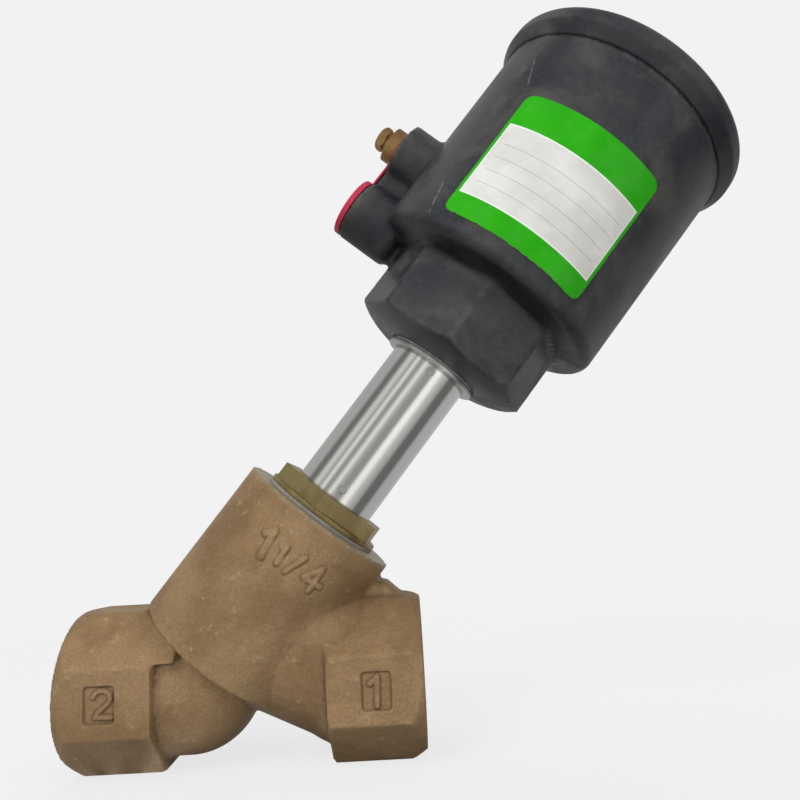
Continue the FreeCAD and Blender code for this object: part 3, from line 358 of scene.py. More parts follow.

# %% [markdown]
# ### Cast bronze
# The body comes out of a sand mould dull, brown and slightly rough, with grey-brown faces where a tool
# has cut it. Sand is speckle over broad patches. The painted shade in its creases and the bright worn
# edges come from the mesh itself, through the wear_and_shade group, so they sit where the shape says.
# %% Cast bronze: dull brown, sandy, with painted shade in its creases, grey where a tool has faced it
def cast_bronze_finish():
    """Sand-cast bronze that has dulled, with its faced rims."""
    material, tree, shader, where = new_material("cast_bronze", Metallic=0.35)
    sand = use_group(tree, grain, Vector=where, Fine=1300.0, Broad=48.0)
    worn = use_group(tree, wear_and_shade, Vector=where, Edge_Amount=0.42, Hollow_Amount=1.0)
    marks = use_group(tree, lathe_marks, Vector=where, Rings=1500.0, Streaks=160.0)
    colour = blend(tree, sand.outputs["Patches"], (0.25, 0.152, 0.071, 1), (0.36, 0.232, 0.116, 1))
    # The pale flecks on the sand's highest grains are painted glints.
    glints = ramp(tree, sand.outputs["Height"], 0.95, 1.1)
    faced = add_node(tree, "ShaderNodeAttribute", attribute_name="faced").outputs["Fac"]
    layers = [(times(tree, glints, 0.6), (0.56, 0.43, 0.28, 1)),
              (times(tree, sand.outputs["Speckle"], 0.26), (0.15, 0.09, 0.042, 1)),
              (worn.outputs["Edges"], (0.5, 0.36, 0.21, 1)),
              # Painted shade: near-black brown in the creases, from the painted_shade attribute.
              (times(tree, worn.outputs["Hollows"], 0.92), (0.04, 0.024, 0.011, 1)),
              (times(tree, faced, 0.75), (0.36, 0.31, 0.22, 1))]
    for share, tone in layers:
        colour = blend(tree, share, colour, tone)
    rough = calc(tree, "MULTIPLY_ADD", sand.outputs["Speckle"], 0.1, 0.52)
    rough = calc(tree, "MULTIPLY_ADD", faced, -0.18, rough)
    sandy = times(tree, sand.outputs["Height"], calc(tree, "SUBTRACT", 1.0, faced))
    tooled = times(tree, marks.outputs["Rings"], times(tree, faced, 0.3))
    surface(tree, shader, colour, rough, calc(tree, "ADD", sandy, tooled), 0.2 * MM)
    return material


finishes["cast_bronze"] = cast_bronze_finish()
print("cast_bronze", len(finishes["cast_bronze"].node_tree.nodes), "nodes")

# %% [markdown]
# ### Brass
# The bonnet is turned from bar and has gone olive and dull, and the vent is the same metal, warmer.
# One recipe takes both tones: faint tool rings in the bump, tarnish as speckle in the colour.
# %% Brass: olive and dull on the bonnet, warmer on the vent
def brass_finish(name, low, high, rough):
    """Machined brass with faint tool rings and tarnish."""
    material, tree, shader, where = new_material(name, Metallic=0.8)
    marks = use_group(tree, lathe_marks, Vector=where, Rings=1500.0, Streaks=160.0)
    sand = use_group(tree, grain, Vector=where, Fine=1200.0, Broad=110.0)
    worn = use_group(tree, wear_and_shade, Vector=where, Edge_Amount=0.8, Hollow_Amount=0.8)
    colour = blend(tree, sand.outputs["Patches"], low, high)
    colour = blend(tree, times(tree, sand.outputs["Speckle"], 0.25), colour, low)
    bright = tuple(min(1.0, c * 1.7) for c in high[:3]) + (1.0,)
    colour = blend(tree, worn.outputs["Edges"], colour, bright)
    rough = calc(tree, "MULTIPLY_ADD", sand.outputs["Speckle"], 0.12, rough)
    surface(tree, shader, colour, rough, marks.outputs["Rings"], 0.03 * MM)
    return material


BRASSES = {"turned_brass": ((0.24, 0.18, 0.075, 1), (0.36, 0.285, 0.13, 1), 0.3),
           "vent_brass": ((0.23, 0.13, 0.045, 1), (0.36, 0.22, 0.085, 1), 0.42)}
for name, look in BRASSES.items():
    finishes[name] = brass_finish(name, *look)
print(*BRASSES)

# %% [markdown]
# ### Steel
# The tube is drawn and polished, so it mirrors the room with long streaks along its length. The ring
# under the actuator, the springs and the alloy piston are duller. The mirrored light and dark bands
# of the tube aren't painted here: they come from the panels of the room, further down.
# %% Steel: polished tube with long streaks, duller ring and springs
def steel_finish(name, dark, light, rough, streak):
    """Turned or drawn stainless steel."""
    material, tree, shader, where = new_material(name, Metallic=1.0)
    marks = use_group(tree, lathe_marks, Vector=where, Rings=2200.0, Streaks=streak)
    sand = use_group(tree, grain, Vector=where, Fine=2500.0, Broad=90.0)
    colour = blend(tree, ramp(tree, marks.outputs["Streaks"], 0.3, 0.7), dark, light)
    rough = calc(tree, "MULTIPLY_ADD", sand.outputs["Speckle"], 0.06, rough)
    surface(tree, shader, colour, rough, marks.outputs["Rings"], 0.002 * MM)
    return material


STEELS = {"stainless": ((0.6, 0.59, 0.57, 1), (0.72, 0.71, 0.69, 1), 0.1, 110.0),
          "dull_steel": ((0.42, 0.42, 0.41, 1), (0.56, 0.56, 0.54, 1), 0.3, 60.0),
          "spring_steel": ((0.22, 0.22, 0.23, 1), (0.36, 0.36, 0.37, 1), 0.35, 60.0),
          "piston_alloy": ((0.6, 0.6, 0.61, 1), (0.75, 0.75, 0.76, 1), 0.3, 60.0)}
for name, look in STEELS.items():
    finishes[name] = steel_finish(name, *look)
print(*STEELS)

# %% [markdown]
# ### Black moulding
# Casing and cap are moulded in glass-filled plastic. Handling leaves a few pale scratches, edges wear
# grey, and dust settles in clouds. A scratch is a straight line between two points of the casing's
# wall, so each is given by its two ends, as a height on the neck and an angle round it.
# %% Black moulding: glass-filled plastic, greyed by dust, pale where it is scuffed
SCRATCHES = [((172.3, -42.0), (161.4, -37.5), 0.6), ((183.3, -64.7), (174.0, -62.2), 0.45),
             ((174.0, -62.2), (164.8, -58.0), 0.5), ((223.8, -43.5), (213.4, -36.7), 0.35),
             ((207.0, 70.0), (200.0, 64.0), 0.3)]
SCRATCH_WIDTH = 0.42 * MM
WALL_RADIUS = 43.3


def on_drum(height, azimuth):
    """Point of the casing's wall, from its height and its angle round the neck."""
    turn = math.radians(azimuth)
    return on_neck @ (Vector((WALL_RADIUS * math.sin(turn), -WALL_RADIUS * math.cos(turn), height)) * MM)


def black_moulding_finish():
    """Glass-filled black plastic that has been handled and gathered dust."""
    material, tree, shader, where = new_material("black_moulding", Specular_IOR_Level=0.3)
    sand = use_group(tree, grain, Vector=where, Fine=1100.0, Broad=34.0)
    film = use_group(tree, dust, Vector=where, Cloud=60.0, Amount=0.85)
    worn = use_group(tree, wear_and_shade, Vector=where, Edge_Amount=0.5, Hollow_Amount=0.9)
    colour = blend(tree, sand.outputs["Patches"], (0.016, 0.0185, 0.023, 1), (0.036, 0.037, 0.039, 1))
    layers = [(times(tree, sand.outputs["Speckle"], 0.3), (0.045, 0.045, 0.046, 1)),
              (film.outputs["Dust"], (0.078, 0.073, 0.065, 1)),
              (worn.outputs["Edges"], (0.16, 0.16, 0.16, 1))]
    for first, last, strength in SCRATCHES:
        ends = {"From": on_drum(*first), "To": on_drum(*last)}
        line = use_group(tree, scratch, Vector=where, Width=SCRATCH_WIDTH, **ends)
        layers.append((times(tree, line.outputs["Line"], strength), (0.3, 0.29, 0.27, 1)))
    # Painted shade: near black in the hollows, along the seam under the cap and under the drum.
    layers.append((times(tree, worn.outputs["Hollows"], 0.85), (0.005, 0.005, 0.006, 1)))
    for share, tone in layers:
        colour = blend(tree, share, colour, tone)
    rough = calc(tree, "MULTIPLY_ADD", film.outputs["Dust"], 0.25, 0.36)
    surface(tree, shader, colour, rough, sand.outputs["Height"], 0.1 * MM)
    return material


finishes["black_moulding"] = black_moulding_finish()
print("black_moulding with", len(SCRATCHES), "scratches")

# %% [markdown]
# ### Plain plastics and rubber
# Seals, bushes, plug, flag and dome are all moulded. Two close tones, a soft grain and a thin film of
# dust are enough to tell them from a bare colour, so one recipe serves them all. The dome only adds
# transmission.
# %% Plain plastics and rubber, with a little grain and dust each
def plastic_finish(name, low, high, rough, **constants):
    """Moulded plastic or rubber: two close tones, a soft grain, and a film of dust."""
    material, tree, shader, where = new_material(name, Metallic=0.0, **constants)
    sand = use_group(tree, grain, Vector=where, Fine=1600.0, Broad=120.0)
    film = use_group(tree, dust, Vector=where, Cloud=90.0, Amount=0.25)
    colour = blend(tree, sand.outputs["Patches"], low, high)
    pale = tuple(0.7 * c + 0.12 for c in high[:3]) + (1.0,)
    colour = blend(tree, film.outputs["Dust"], colour, pale)
    rough = calc(tree, "MULTIPLY_ADD", film.outputs["Dust"], 0.2, rough)
    surface(tree, shader, colour, rough, sand.outputs["Height"], 0.03 * MM)
    return material


PLASTICS = {"white_ptfe": ((0.72, 0.71, 0.68, 1), (0.8, 0.79, 0.76, 1), 0.4),
            "grey_seal": ((0.2, 0.19, 0.18, 1), (0.28, 0.27, 0.25, 1), 0.75),
            "black_rubber": ((0.02, 0.02, 0.02, 1), (0.035, 0.035, 0.035, 1), 0.6),
            "signal_orange": ((0.72, 0.2, 0.03, 1), (0.85, 0.27, 0.05, 1), 0.35),
            "red_plastic": ((0.42, 0.012, 0.04, 1), (0.52, 0.025, 0.07, 1), 0.4)}
for name, look in PLASTICS.items():
    finishes[name] = plastic_finish(name, *look)
finishes["clear_dome"] = plastic_finish("clear_dome", (0.92, 0.94, 0.94, 1), (0.95, 0.96, 0.96, 1), 0.06,
                                        Transmission_Weight=1.0, IOR=1.49)
print(*PLASTICS, "clear_dome")

# %% [markdown]
# ### Label foil
# The label is printed foil, bare of words here: two green bands, a silver field with a white border
# line, and a few empty rules. The print follows the foil round the casing, so it reads the label's own
# flat coordinates, in which every line of the print is a step at a measured height or width.
# %% Label: a blank silver field between two green bands, with all measures in millimetres
LABEL_ACROSS = 52.4
LABEL_UP = 45.9
LABEL_ROWS = (12.4, 17.2, 22.0, 26.8)
RULE_HEIGHT = 0.16
RULE_HALF = 22.3
BORDER = (7.3, 34.3, 24.9)
FIELD = (7.75, 33.85, 24.5)
PRINT_BLUR = 0.06
GRIMY_FOOT = 0.35
GRIMY_SIDE = 25.95


def label_finish():
    """Printed foil with two bands, a border, a white hairline and a few empty rules. It has no wording."""
    material, tree, shader, where = new_material("label_foil", Specular_IOR_Level=0.2)
    place = add_node(tree, "ShaderNodeUVMap", uv_map="label_place").outputs[0]
    split = add_node(tree, "ShaderNodeSeparateXYZ", {0: place})
    side = calc(tree, "ABSOLUTE", calc(tree, "SUBTRACT", split.outputs["X"], 0.5))
    side = times(tree, side, LABEL_ACROSS)
    up = times(tree, split.outputs["Y"], LABEL_UP)

    def beyond(value, limit):
        return ramp(tree, value, limit - PRINT_BLUR, limit + PRINT_BLUR)

    def below(value, limit):
        return ramp(tree, value, limit + PRINT_BLUR, limit - PRINT_BLUR)

    def block(low, high, half):
        return times(tree, beyond(up, low), below(up, high), below(side, half))

    film = use_group(tree, dust, Vector=where, Cloud=160.0, Amount=0.35)
    sand = use_group(tree, grain, Vector=where, Fine=1500.0, Broad=90.0)
    green = blend(tree, sand.outputs["Patches"], (0.017, 0.34, 0.001, 1), (0.022, 0.385, 0.0015, 1))
    silver = blend(tree, sand.outputs["Patches"], (0.63, 0.62, 0.58, 1), (0.72, 0.71, 0.68, 1))
    rules = 0.0
    for row in LABEL_ROWS:
        line = times(tree, beyond(up, row), below(up, row + RULE_HEIGHT))
        rules = calc(tree, "ADD", rules, line, clamp=True)
    rules = times(tree, rules, times(tree, below(side, RULE_HALF), 0.55))
    silver = blend(tree, rules, silver, (0.09, 0.1, 0.1, 1))
    grimy = calc(tree, "MAXIMUM", below(up, GRIMY_FOOT), beyond(side, GRIMY_SIDE))
    grimy = times(tree, grimy, ramp(tree, sand.outputs["Height"], 0.72, 0.9))
    colour = green
    for share, tone in ((block(*BORDER), (0.8, 0.83, 0.78, 1)), (block(*FIELD), silver),
                        (times(tree, film.outputs["Dust"], 0.12), (0.33, 0.36, 0.26, 1)),
                        (grimy, (0.07, 0.075, 0.06, 1))):
        colour = blend(tree, share, colour, tone)
    rough = calc(tree, "MULTIPLY_ADD", film.outputs["Dust"], 0.25, 0.33)
    surface(tree, shader, colour, rough, sand.outputs["Height"], 0.02 * MM)
    return material


finishes["label_foil"] = label_finish()
print("label_foil with", len(LABEL_ROWS), "rules")

# %% Give each CAD node the finish its record names
for part in frame["record"]["subparts"]:
    node = frame["nodes"][part["node"]]
    node.data.materials.clear()
    node.data.materials.append(finishes[part["material_slot"]])

# %% [markdown]
# ## The casting
# A sand casting has no sharp inside corners: the mould's fillets fill them, and the sand rounds the
# outside edges a little. Bevels can't do that where an octagon, a leaning cylinder and a bent tube
# meet. So a copy of the CAD solid is remeshed to even small faces, and then every vertex that lies in
# a hollow is moved outwards until the hollow is a smooth blend. Outside edges get only one round of
# plain smoothing. How deep a vertex lay in a hollow, and how sharp its edge was, are kept as attributes
# for the wear_and_shade group: the depth becomes painted shade, the sharpness worn edges.
# %% Even faces from a solid
def remeshed(name, node, voxel):
    """Copy of a CAD node as one skin of even faces."""
    made = add_object(name, welded_copy(node))
    skin = made.modifiers.new("even_faces", "REMESH")
    skin.mode = "VOXEL"
    skin.voxel_size = voxel
    skin.adaptivity = 0.0
    return settle(made)


print("remesh helper ready")

# %% Read and write a mesh as tables of numbers
def read_points(mesh):
    """Vertex places of a mesh."""
    places = np.empty(len(mesh.vertices) * 3)
    mesh.vertices.foreach_get("co", places)
    return places.reshape(-1, 3)


def read_normals(mesh):
    """Vertex normals of a mesh."""
    normals = np.empty(len(mesh.vertices) * 3)
    mesh.vertices.foreach_get("normal", normals)
    return normals.reshape(-1, 3)


def write_points(mesh, places):
    """Puts vertex places back."""
    mesh.vertices.foreach_set("co", places.ravel())
    mesh.update()


def around(mesh):
    """Function that averages each vertex's neighbours."""
    ends = np.empty(len(mesh.edges) * 2, dtype=np.int64)
    mesh.edges.foreach_get("vertices", ends)
    ends = ends.reshape(-1, 2)
    start = np.concatenate([ends[:, 0], ends[:, 1]])
    finish = np.concatenate([ends[:, 1], ends[:, 0]])
    count = np.bincount(start, minlength=len(mesh.vertices))
    def average(values):
        columns = [np.bincount(start, values[finish, k], len(count)) / count for k in range(values.shape[1])]
        return np.stack(columns, axis=1)
    return average


def keep_attribute(mesh, name, values):
    """Stores a number for each vertex, for the materials to read."""
    layer = mesh.attributes.get(name) or mesh.attributes.new(name, "FLOAT", "POINT")
    layer.data.foreach_set("value", values.astype(np.float32))


print("table helpers ready")

# %% Fill the hollows as a mould's fillets do
def mould(made, fill_rounds, soften_rounds, free, edge_scale, shade_scale):
    """Fills hollows, rounds edges, and notes both, the hollows for painted shade and the edges for wear. free
    is 1 where a vertex may move.
    """
    mesh = made.data
    average = around(mesh)
    places = read_points(mesh)
    normals = read_normals(mesh)
    bend = ((average(places) - places) * normals).sum(1)
    edge = np.clip(-bend / edge_scale, 0, 1)
    painted_shade = np.clip(bend / shade_scale, 0, 1) * free
    start = places.copy()
    for _ in range(fill_rounds):
        rise = ((average(places) - places) * normals).sum(1)
        rise = np.clip(rise, 0, None) * free
        places = places + normals * rise[:, None]
        write_points(mesh, places)
        normals = read_normals(mesh)
    for _ in range(soften_rounds):
        places = places + (average(places) - places) * 0.5 * free[:, None]
    write_points(mesh, places)
    for _ in range(2):
        edge = 0.5 * edge + 0.5 * average(edge[:, None])[:, 0]
        painted_shade = 0.5 * painted_shade + 0.5 * average(painted_shade[:, None])[:, 0]
    keep_attribute(mesh, "edge", edge)
    keep_attribute(mesh, "painted_shade", painted_shade)
    filled = np.abs(places - start).max()
    print(made.name, len(mesh.vertices), "vertices, moved by up to", round(filled / MM, 2), "mm")


print("mould helper ready")

# %% Stand the neck upright, to measure on it
def moved(places, matrix):
    """Places after a matrix."""
    table = np.array(matrix)
    return places @ table[:3, :3].T + table[:3, 3]


def seen_on_neck(places):
    """Places in millimetres with the neck upright, and their distances from its axis."""
    upright = moved(places, on_neck.inverted()) / MM
    return upright, np.hypot(upright[:, 0], upright[:, 1])


print("neck helpers ready")

# %% Relief: strokes and sunk fields as distances, so that a fine mesh can carry them
def finer(made, inside, cuts):
    """Divides the faces whose middles lie inside a patch."""
    bm = bmesh.new()
    bm.from_mesh(made.data)
    picked = [face for face in bm.faces if inside(face.calc_center_median() / MM)]
    edges = list({edge for face in picked for edge in face.edges})
    bmesh.ops.subdivide_edges(bm, edges=edges, cuts=cuts, use_grid_fill=True)
    bmesh.ops.triangulate(bm, faces=[face for face in bm.faces if len(face.verts) > 4])
    bm.to_mesh(made.data)
    bm.free()
    print(made.name, len(picked), "faces divided")


def soft_step(value, low, high):
    """Rises smoothly from 0 at low to 1 at high."""
    share = np.clip((value - low) / (high - low), 0, 1)
    return share * share * (3 - 2 * share)


def stroke_distance(across, up, strokes):
    """Distance of each point to the nearest of some bent lines, less each line's half width."""
    best = np.full(len(across), 99.0)
    for half, line in strokes:
        for (ax, ay), (bx, by) in zip(line, line[1:]):
            run, climb = bx - ax, by - ay
            share = np.clip(((across - ax) * run + (up - ay) * climb) / (run * run + climb * climb), 0, 1)
            best = np.minimum(best, np.hypot(across - ax - share * run, up - ay - share * climb) - half)
    return best


def field_distance(across, up, low, high, corner):
    """Distance from the outline of a rounded rectangle, negative inside it."""
    beside = np.abs(across - (low[0] + high[0]) / 2) - (high[0] - low[0]) / 2 + corner
    above = np.abs(up - (low[1] + high[1]) / 2) - (high[1] - low[1]) / 2 + corner
    outside = np.hypot(np.maximum(beside, 0), np.maximum(above, 0))
    return outside + np.minimum(np.maximum(beside, above), 0) - corner


def bell(value, middle, width):
    """Rises to 1 at the middle and falls away on both sides."""
    return np.exp(-((value - middle) / width) ** 2)


def read_values(mesh, name):
    """Numbers of an attribute, one for each vertex."""
    values = np.empty(len(mesh.vertices))
    mesh.attributes[name].data.foreach_get("value", values)
    return values


print("relief tools ready")

# %% Cast body: remesh, fill and soften, with the machined bores left alone
PORT_TO_PORT = 110.0
FLAT_Y = -24.0
NECK_RADIUS = 27.5
NECK_TOP = 66.0
THREAD_RADIUS = 20.955
BORE_LIMIT = 21.6
TAPPED_LENGTH = 22.0
NECK_BORE = 22.0
NECK_BORE_LOW = 14.0
CAST_FINENESS = 0.75 * MM


def on_pipe(places):
    """Distances of places, in millimetres, from the pipe's axis."""
    return np.hypot(places[:, 1], places[:, 2])


cast_body = remeshed("cast_body", "valve_body", CAST_FINENESS)
body_points = read_points(cast_body.data) / MM
upright, neck_distance = seen_on_neck(body_points * MM)
from_middle = np.abs(body_points[:, 0] - PORT_TO_PORT / 2)
bores = (on_pipe(body_points) < BORE_LIMIT) & (from_middle > PORT_TO_PORT / 2 - TAPPED_LENGTH)
bores |= (neck_distance < NECK_BORE) & (upright[:, 2] > NECK_BORE_LOW)
mould(cast_body, fill_rounds=10, soften_rounds=1, free=np.where(bores, 0.0, 1.0), edge_scale=0.16 * MM,
      shade_scale=0.17 * MM)

# %% Faced surfaces: the neck's top, both mouths and the thread bores lie exactly on their planes
MOUTH_RADIUS = 23.3
THREAD_DEPTH = 19.2
COLLAR_LOW = 62.0
NEAR_MOUTH = 0.55
NEAR_TURNED = 0.6
NEAR_SIDE = 0.35


def face_off(made):
    """Puts machined surfaces back on their exact planes and radii, and marks them."""
    mesh = made.data
    places = read_points(mesh) / MM
    faced = np.zeros(len(places))
    for mouth in (0.0, PORT_TO_PORT):
        radius = on_pipe(places)
        from_mouth = np.abs(places[:, 0] - mouth)
        near = (from_mouth < NEAR_MOUTH) & (radius < MOUTH_RADIUS)
        places[near, 0] = mouth
        faced[near] = 1
        inside = from_mouth < THREAD_DEPTH
        wall = inside & (np.abs(radius - THREAD_RADIUS) < NEAR_TURNED)
        places[wall, 1:] *= (THREAD_RADIUS / radius[wall])[:, None]
        faced[inside & (radius < BORE_LIMIT)] = 1
    upright, radius = seen_on_neck(places * MM)
    near = (np.abs(upright[:, 2] - NECK_TOP) < NEAR_TURNED) & (radius < NECK_RADIUS + 0.3)
    upright[near, 2] = NECK_TOP
    faced[near] = 1
    side = (np.abs(radius - NECK_RADIUS) < NEAR_SIDE) & (upright[:, 2] > COLLAR_LOW)
    upright[side, :2] *= (NECK_RADIUS / radius[side])[:, None]
    write_points(mesh, moved(upright * MM, on_neck))
    keep_attribute(mesh, "faced", faced)
    print(made.name, int(faced.sum()), "vertices faced")


face_off(cast_body)

# %% [markdown]
# ## Cast numerals
# The two ports carry plain numbers in sunk fields, and the neck carries the pipe size. The mesh is
# divided where they stand, and each vertex takes its height from its distance to the strokes. The
# numbers of the neck are worn, so noise eats into them.
# %% Port numbers
TWO = [(12.7, 2.2), (13.4, 3.3), (14.7, 3.9), (16.3, 3.8), (17.5, 3.0), (17.8, 1.6),
       (17.1, 0.3), (15.6, -1.0), (14.0, -2.3), (13.3, -3.5), (18.2, -3.6)]
ONE = [(93.7, 1.9), (96.0, 3.5), (95.7, -4.3)]
PORT_MARKS = [((9.7, -5.6), (19.1, 5.4), 0.65, TWO), ((91.1, -5.9), (100.2, 5.4), 0.8, ONE)]
NEAR_FLAT = FLAT_Y + 1.6
MARK_MARGIN = 1.5
MARK_HALF_HEIGHT = 7.4
FIELD_CORNER = 1.3
FIELD_DEPTH = 0.7
NUMBER_HEIGHT = 0.62


def near_mark(point):
    """True on the front flats round the port numbers."""
    beside = any(mark[0][0] - MARK_MARGIN < point.x < mark[1][0] + MARK_MARGIN for mark in PORT_MARKS)
    return point.y < NEAR_FLAT and abs(point.z) < MARK_HALF_HEIGHT and beside


def port_numbers(made):
    """Sinks each field, raises its number, and paints shade round the foot of both."""
    finer(made, near_mark, 3)
    mesh = made.data
    places = read_points(mesh) / MM
    painted_shade = read_values(mesh, "painted_shade")
    edge = read_values(mesh, "edge")
    for low, high, half, line in PORT_MARKS:
        field = field_distance(places[:, 0], places[:, 2], low, high, FIELD_CORNER)
        stroke = stroke_distance(places[:, 0], places[:, 2], [(half, line)])
        here = (field < 1.1) & (places[:, 1] < NEAR_FLAT)
        sunk = FIELD_DEPTH * soft_step(-field, -0.1, 0.45)
        raised = NUMBER_HEIGHT * soft_step(-stroke, -0.25, 0.2)
        places[here, 1] = (FLAT_Y + sunk - raised)[here]
        # Painted shade runs round the foot of each number and inside the field's rim; the crests take the
        # worn-edge mask.
        foot = bell(field, -0.45, 0.28) + bell(stroke, 0.3, 0.25)
        crest = bell(field, 0.1, 0.25) + bell(stroke, -half, 0.5)
        painted_shade[here] = np.clip(0.5 * foot, 0, 1)[here]
        edge[here] = np.clip(0.5 * crest, 0, 1)[here]
    write_points(mesh, places * MM)
    keep_attribute(mesh, "painted_shade", painted_shade)
    keep_attribute(mesh, "edge", edge)
    print(len(PORT_MARKS), "port numbers")


port_numbers(cast_body)

# %% Pipe size on the neck, in worn strokes
SIZE_STROKES = [(1.0, [(-8.0, 54.4), (-6.0, 56.4), (-5.0, 48.3)]),
                (0.7, [(-1.1, 54.2), (-0.1, 55.0), (0.2, 49.6)]),
                (0.6, [(6.3, 55.6), (3.6, 49.0)]),
                (0.75, [(13.0, 48.4), (12.7, 55.8), (9.3, 50.9), (15.4, 51.0)])]
NEAR_WALL = 26.0
SIZE_ACROSS = (-10.5, 17.5)
SIZE_UP = (46.0, 59.0)
SIZE_HEIGHT = 0.5
SIZE_REACH = 2.6


def near_size(point):
    """True on the front of the neck round the pipe size."""
    upright = on_neck.inverted() @ (point * MM) / MM
    wide = math.atan2(upright.x, -upright.y) * NECK_RADIUS
    framed = SIZE_ACROSS[0] < wide < SIZE_ACROSS[1] and SIZE_UP[0] < upright.z < SIZE_UP[1]
    return framed and math.hypot(upright.x, upright.y) > NEAR_WALL


def pipe_size(made):
    """Raises the pipe size from the neck, with painted shade round its strokes."""
    finer(made, near_size, 2)
    mesh = made.data
    places = read_points(mesh)
    normals = read_normals(mesh)
    upright, radius = seen_on_neck(places)
    across = np.arctan2(upright[:, 0], -upright[:, 1]) * NECK_RADIUS
    stroke = stroke_distance(across, upright[:, 2], SIZE_STROKES)
    front = (radius > NEAR_WALL) & (upright[:, 1] < 0) & (upright[:, 2] > SIZE_UP[0] - 2)
    here = front & (stroke < SIZE_REACH)
    painted_shade = read_values(mesh, "painted_shade")
    edge = read_values(mesh, "edge")
    rough = np.array([noise.noise(Vector(point) * 420.0) for point in places[here]])
    near = stroke[here]
    raised = SIZE_HEIGHT * soft_step(-near, -0.4, 0.3) * (0.8 + 0.5 * rough)
    sag = 0.12 * bell(near, 0.6, 0.4)
    places[here] += normals[here] * ((raised - sag) * MM)[:, None]
    # Painted shade round the foot of each stroke, broken by noise.
    painted_shade[here] = np.clip(0.5 * bell(near, 0.4, 0.3) * (0.85 + rough), 0, 1)
    edge[here] = np.clip(0.45 * bell(near, -0.5, 0.4), 0, 1)
    write_points(mesh, places)
    keep_attribute(mesh, "painted_shade", painted_shade)
    keep_attribute(mesh, "edge", edge)
    print("pipe size on", int(here.sum()), "vertices")


pipe_size(cast_body)

# %% [markdown]
# ## Fewer faces where nobody looks
# A piece should stay under 200,000 triangles. The even faces are only needed on the outside, where
# they carry the cast look, so the walls inside the body are thinned and the outside isn't touched.
# %% Thin a piece's hidden walls
MOST_TRIANGLES = 190000


def count_triangles(mesh):
    """Triangles that the faces of a mesh make."""
    return sum(len(face.vertices) - 2 for face in mesh.polygons)


def thin_inside(made, inside, goal):
    """Thins hidden inner walls until the whole piece has about the wanted number of triangles."""
    count = count_triangles(made.data)
    group = made.vertex_groups.new(name="inside")
    group.add([int(spot) for spot in np.flatnonzero(inside)], 1.0, "REPLACE")
    thin = made.modifiers.new("thin", "DECIMATE")
    thin.vertex_group = "inside"
    thin.ratio = min(1.0, goal / count)
    settle(made)
    made.vertex_groups.clear()
    print(made.name, "from", count, "to", count_triangles(made.data), "triangles")


print("at most", MOST_TRIANGLES, "triangles")

# %% Thin the inner walls of the body, and dress it
FLOW_BORE = 17.2
body_points = read_points(cast_body.data) / MM
pipe_distance = on_pipe(body_points)
upright, neck_distance = seen_on_neck(body_points * MM)
in_neck = (neck_distance < NECK_BORE + 0.4) & (upright[:, 2] > 5) & (upright[:, 2] < NECK_TOP - 0.5)
hidden = (pipe_distance < FLOW_BORE) | in_neck
for middle in (10.0, PORT_TO_PORT - 10.0):
    hidden |= (pipe_distance < BORE_LIMIT - 0.3) & (np.abs(body_points[:, 0] - middle) < 8)
thin_inside(cast_body, hidden, MOST_TRIANGLES)
cast_body.data.shade_smooth()
dress(cast_body, finishes["cast_bronze"], "valve", "cast_bronze", "valve_body")

# %% [markdown]
# ## The casing
# The casing is a moulding: its octagon foot and its bosses run into the drum with small fillets, while
# the drum itself is turned true, with a little draft so that the mould can be drawn off. It gets the
# same remesh and fill as the casting, only gentler, and then its drum and bore are set back to their
# exact radii. Otherwise the remesh would leave faint steps that show in the highlights. Its top rises
# a little into the cap, so that the seam between the two is closed.
# %% Casing: remesh and fill, then make its turned surfaces exact again
CASING_TOP = 234.8
CASING_UNDER = 160.5
DRUM_RADIUS = 43.1
DRUM_DRAFT = 0.3
MODELLED_BORE = 38.0
BORE_RADIUS = 38.25
BORE_LOW = 162.0
HUB_RADIUS = 28.0
HUB_LOW = 130.5
CAP_COVERS = 0.7
UNDERSIDE = (140.0, 146.0)
DRUM_FOOT = (160.0, 164.0)
CASING_FINENESS = 0.85 * MM
casing_skin = remeshed("casing_moulding", "actuator_casing", CASING_FINENESS)
upright, neck_distance = seen_on_neck(read_points(casing_skin.data))
inner = (neck_distance < MODELLED_BORE + 0.6) & (upright[:, 2] > BORE_LOW)
inner |= (neck_distance < HUB_RADIUS) & (upright[:, 2] > HUB_LOW)
mould(casing_skin, fill_rounds=4, soften_rounds=1, free=np.where(inner, 0.0, 1.0), edge_scale=0.16 * MM,
      shade_scale=0.16 * MM)


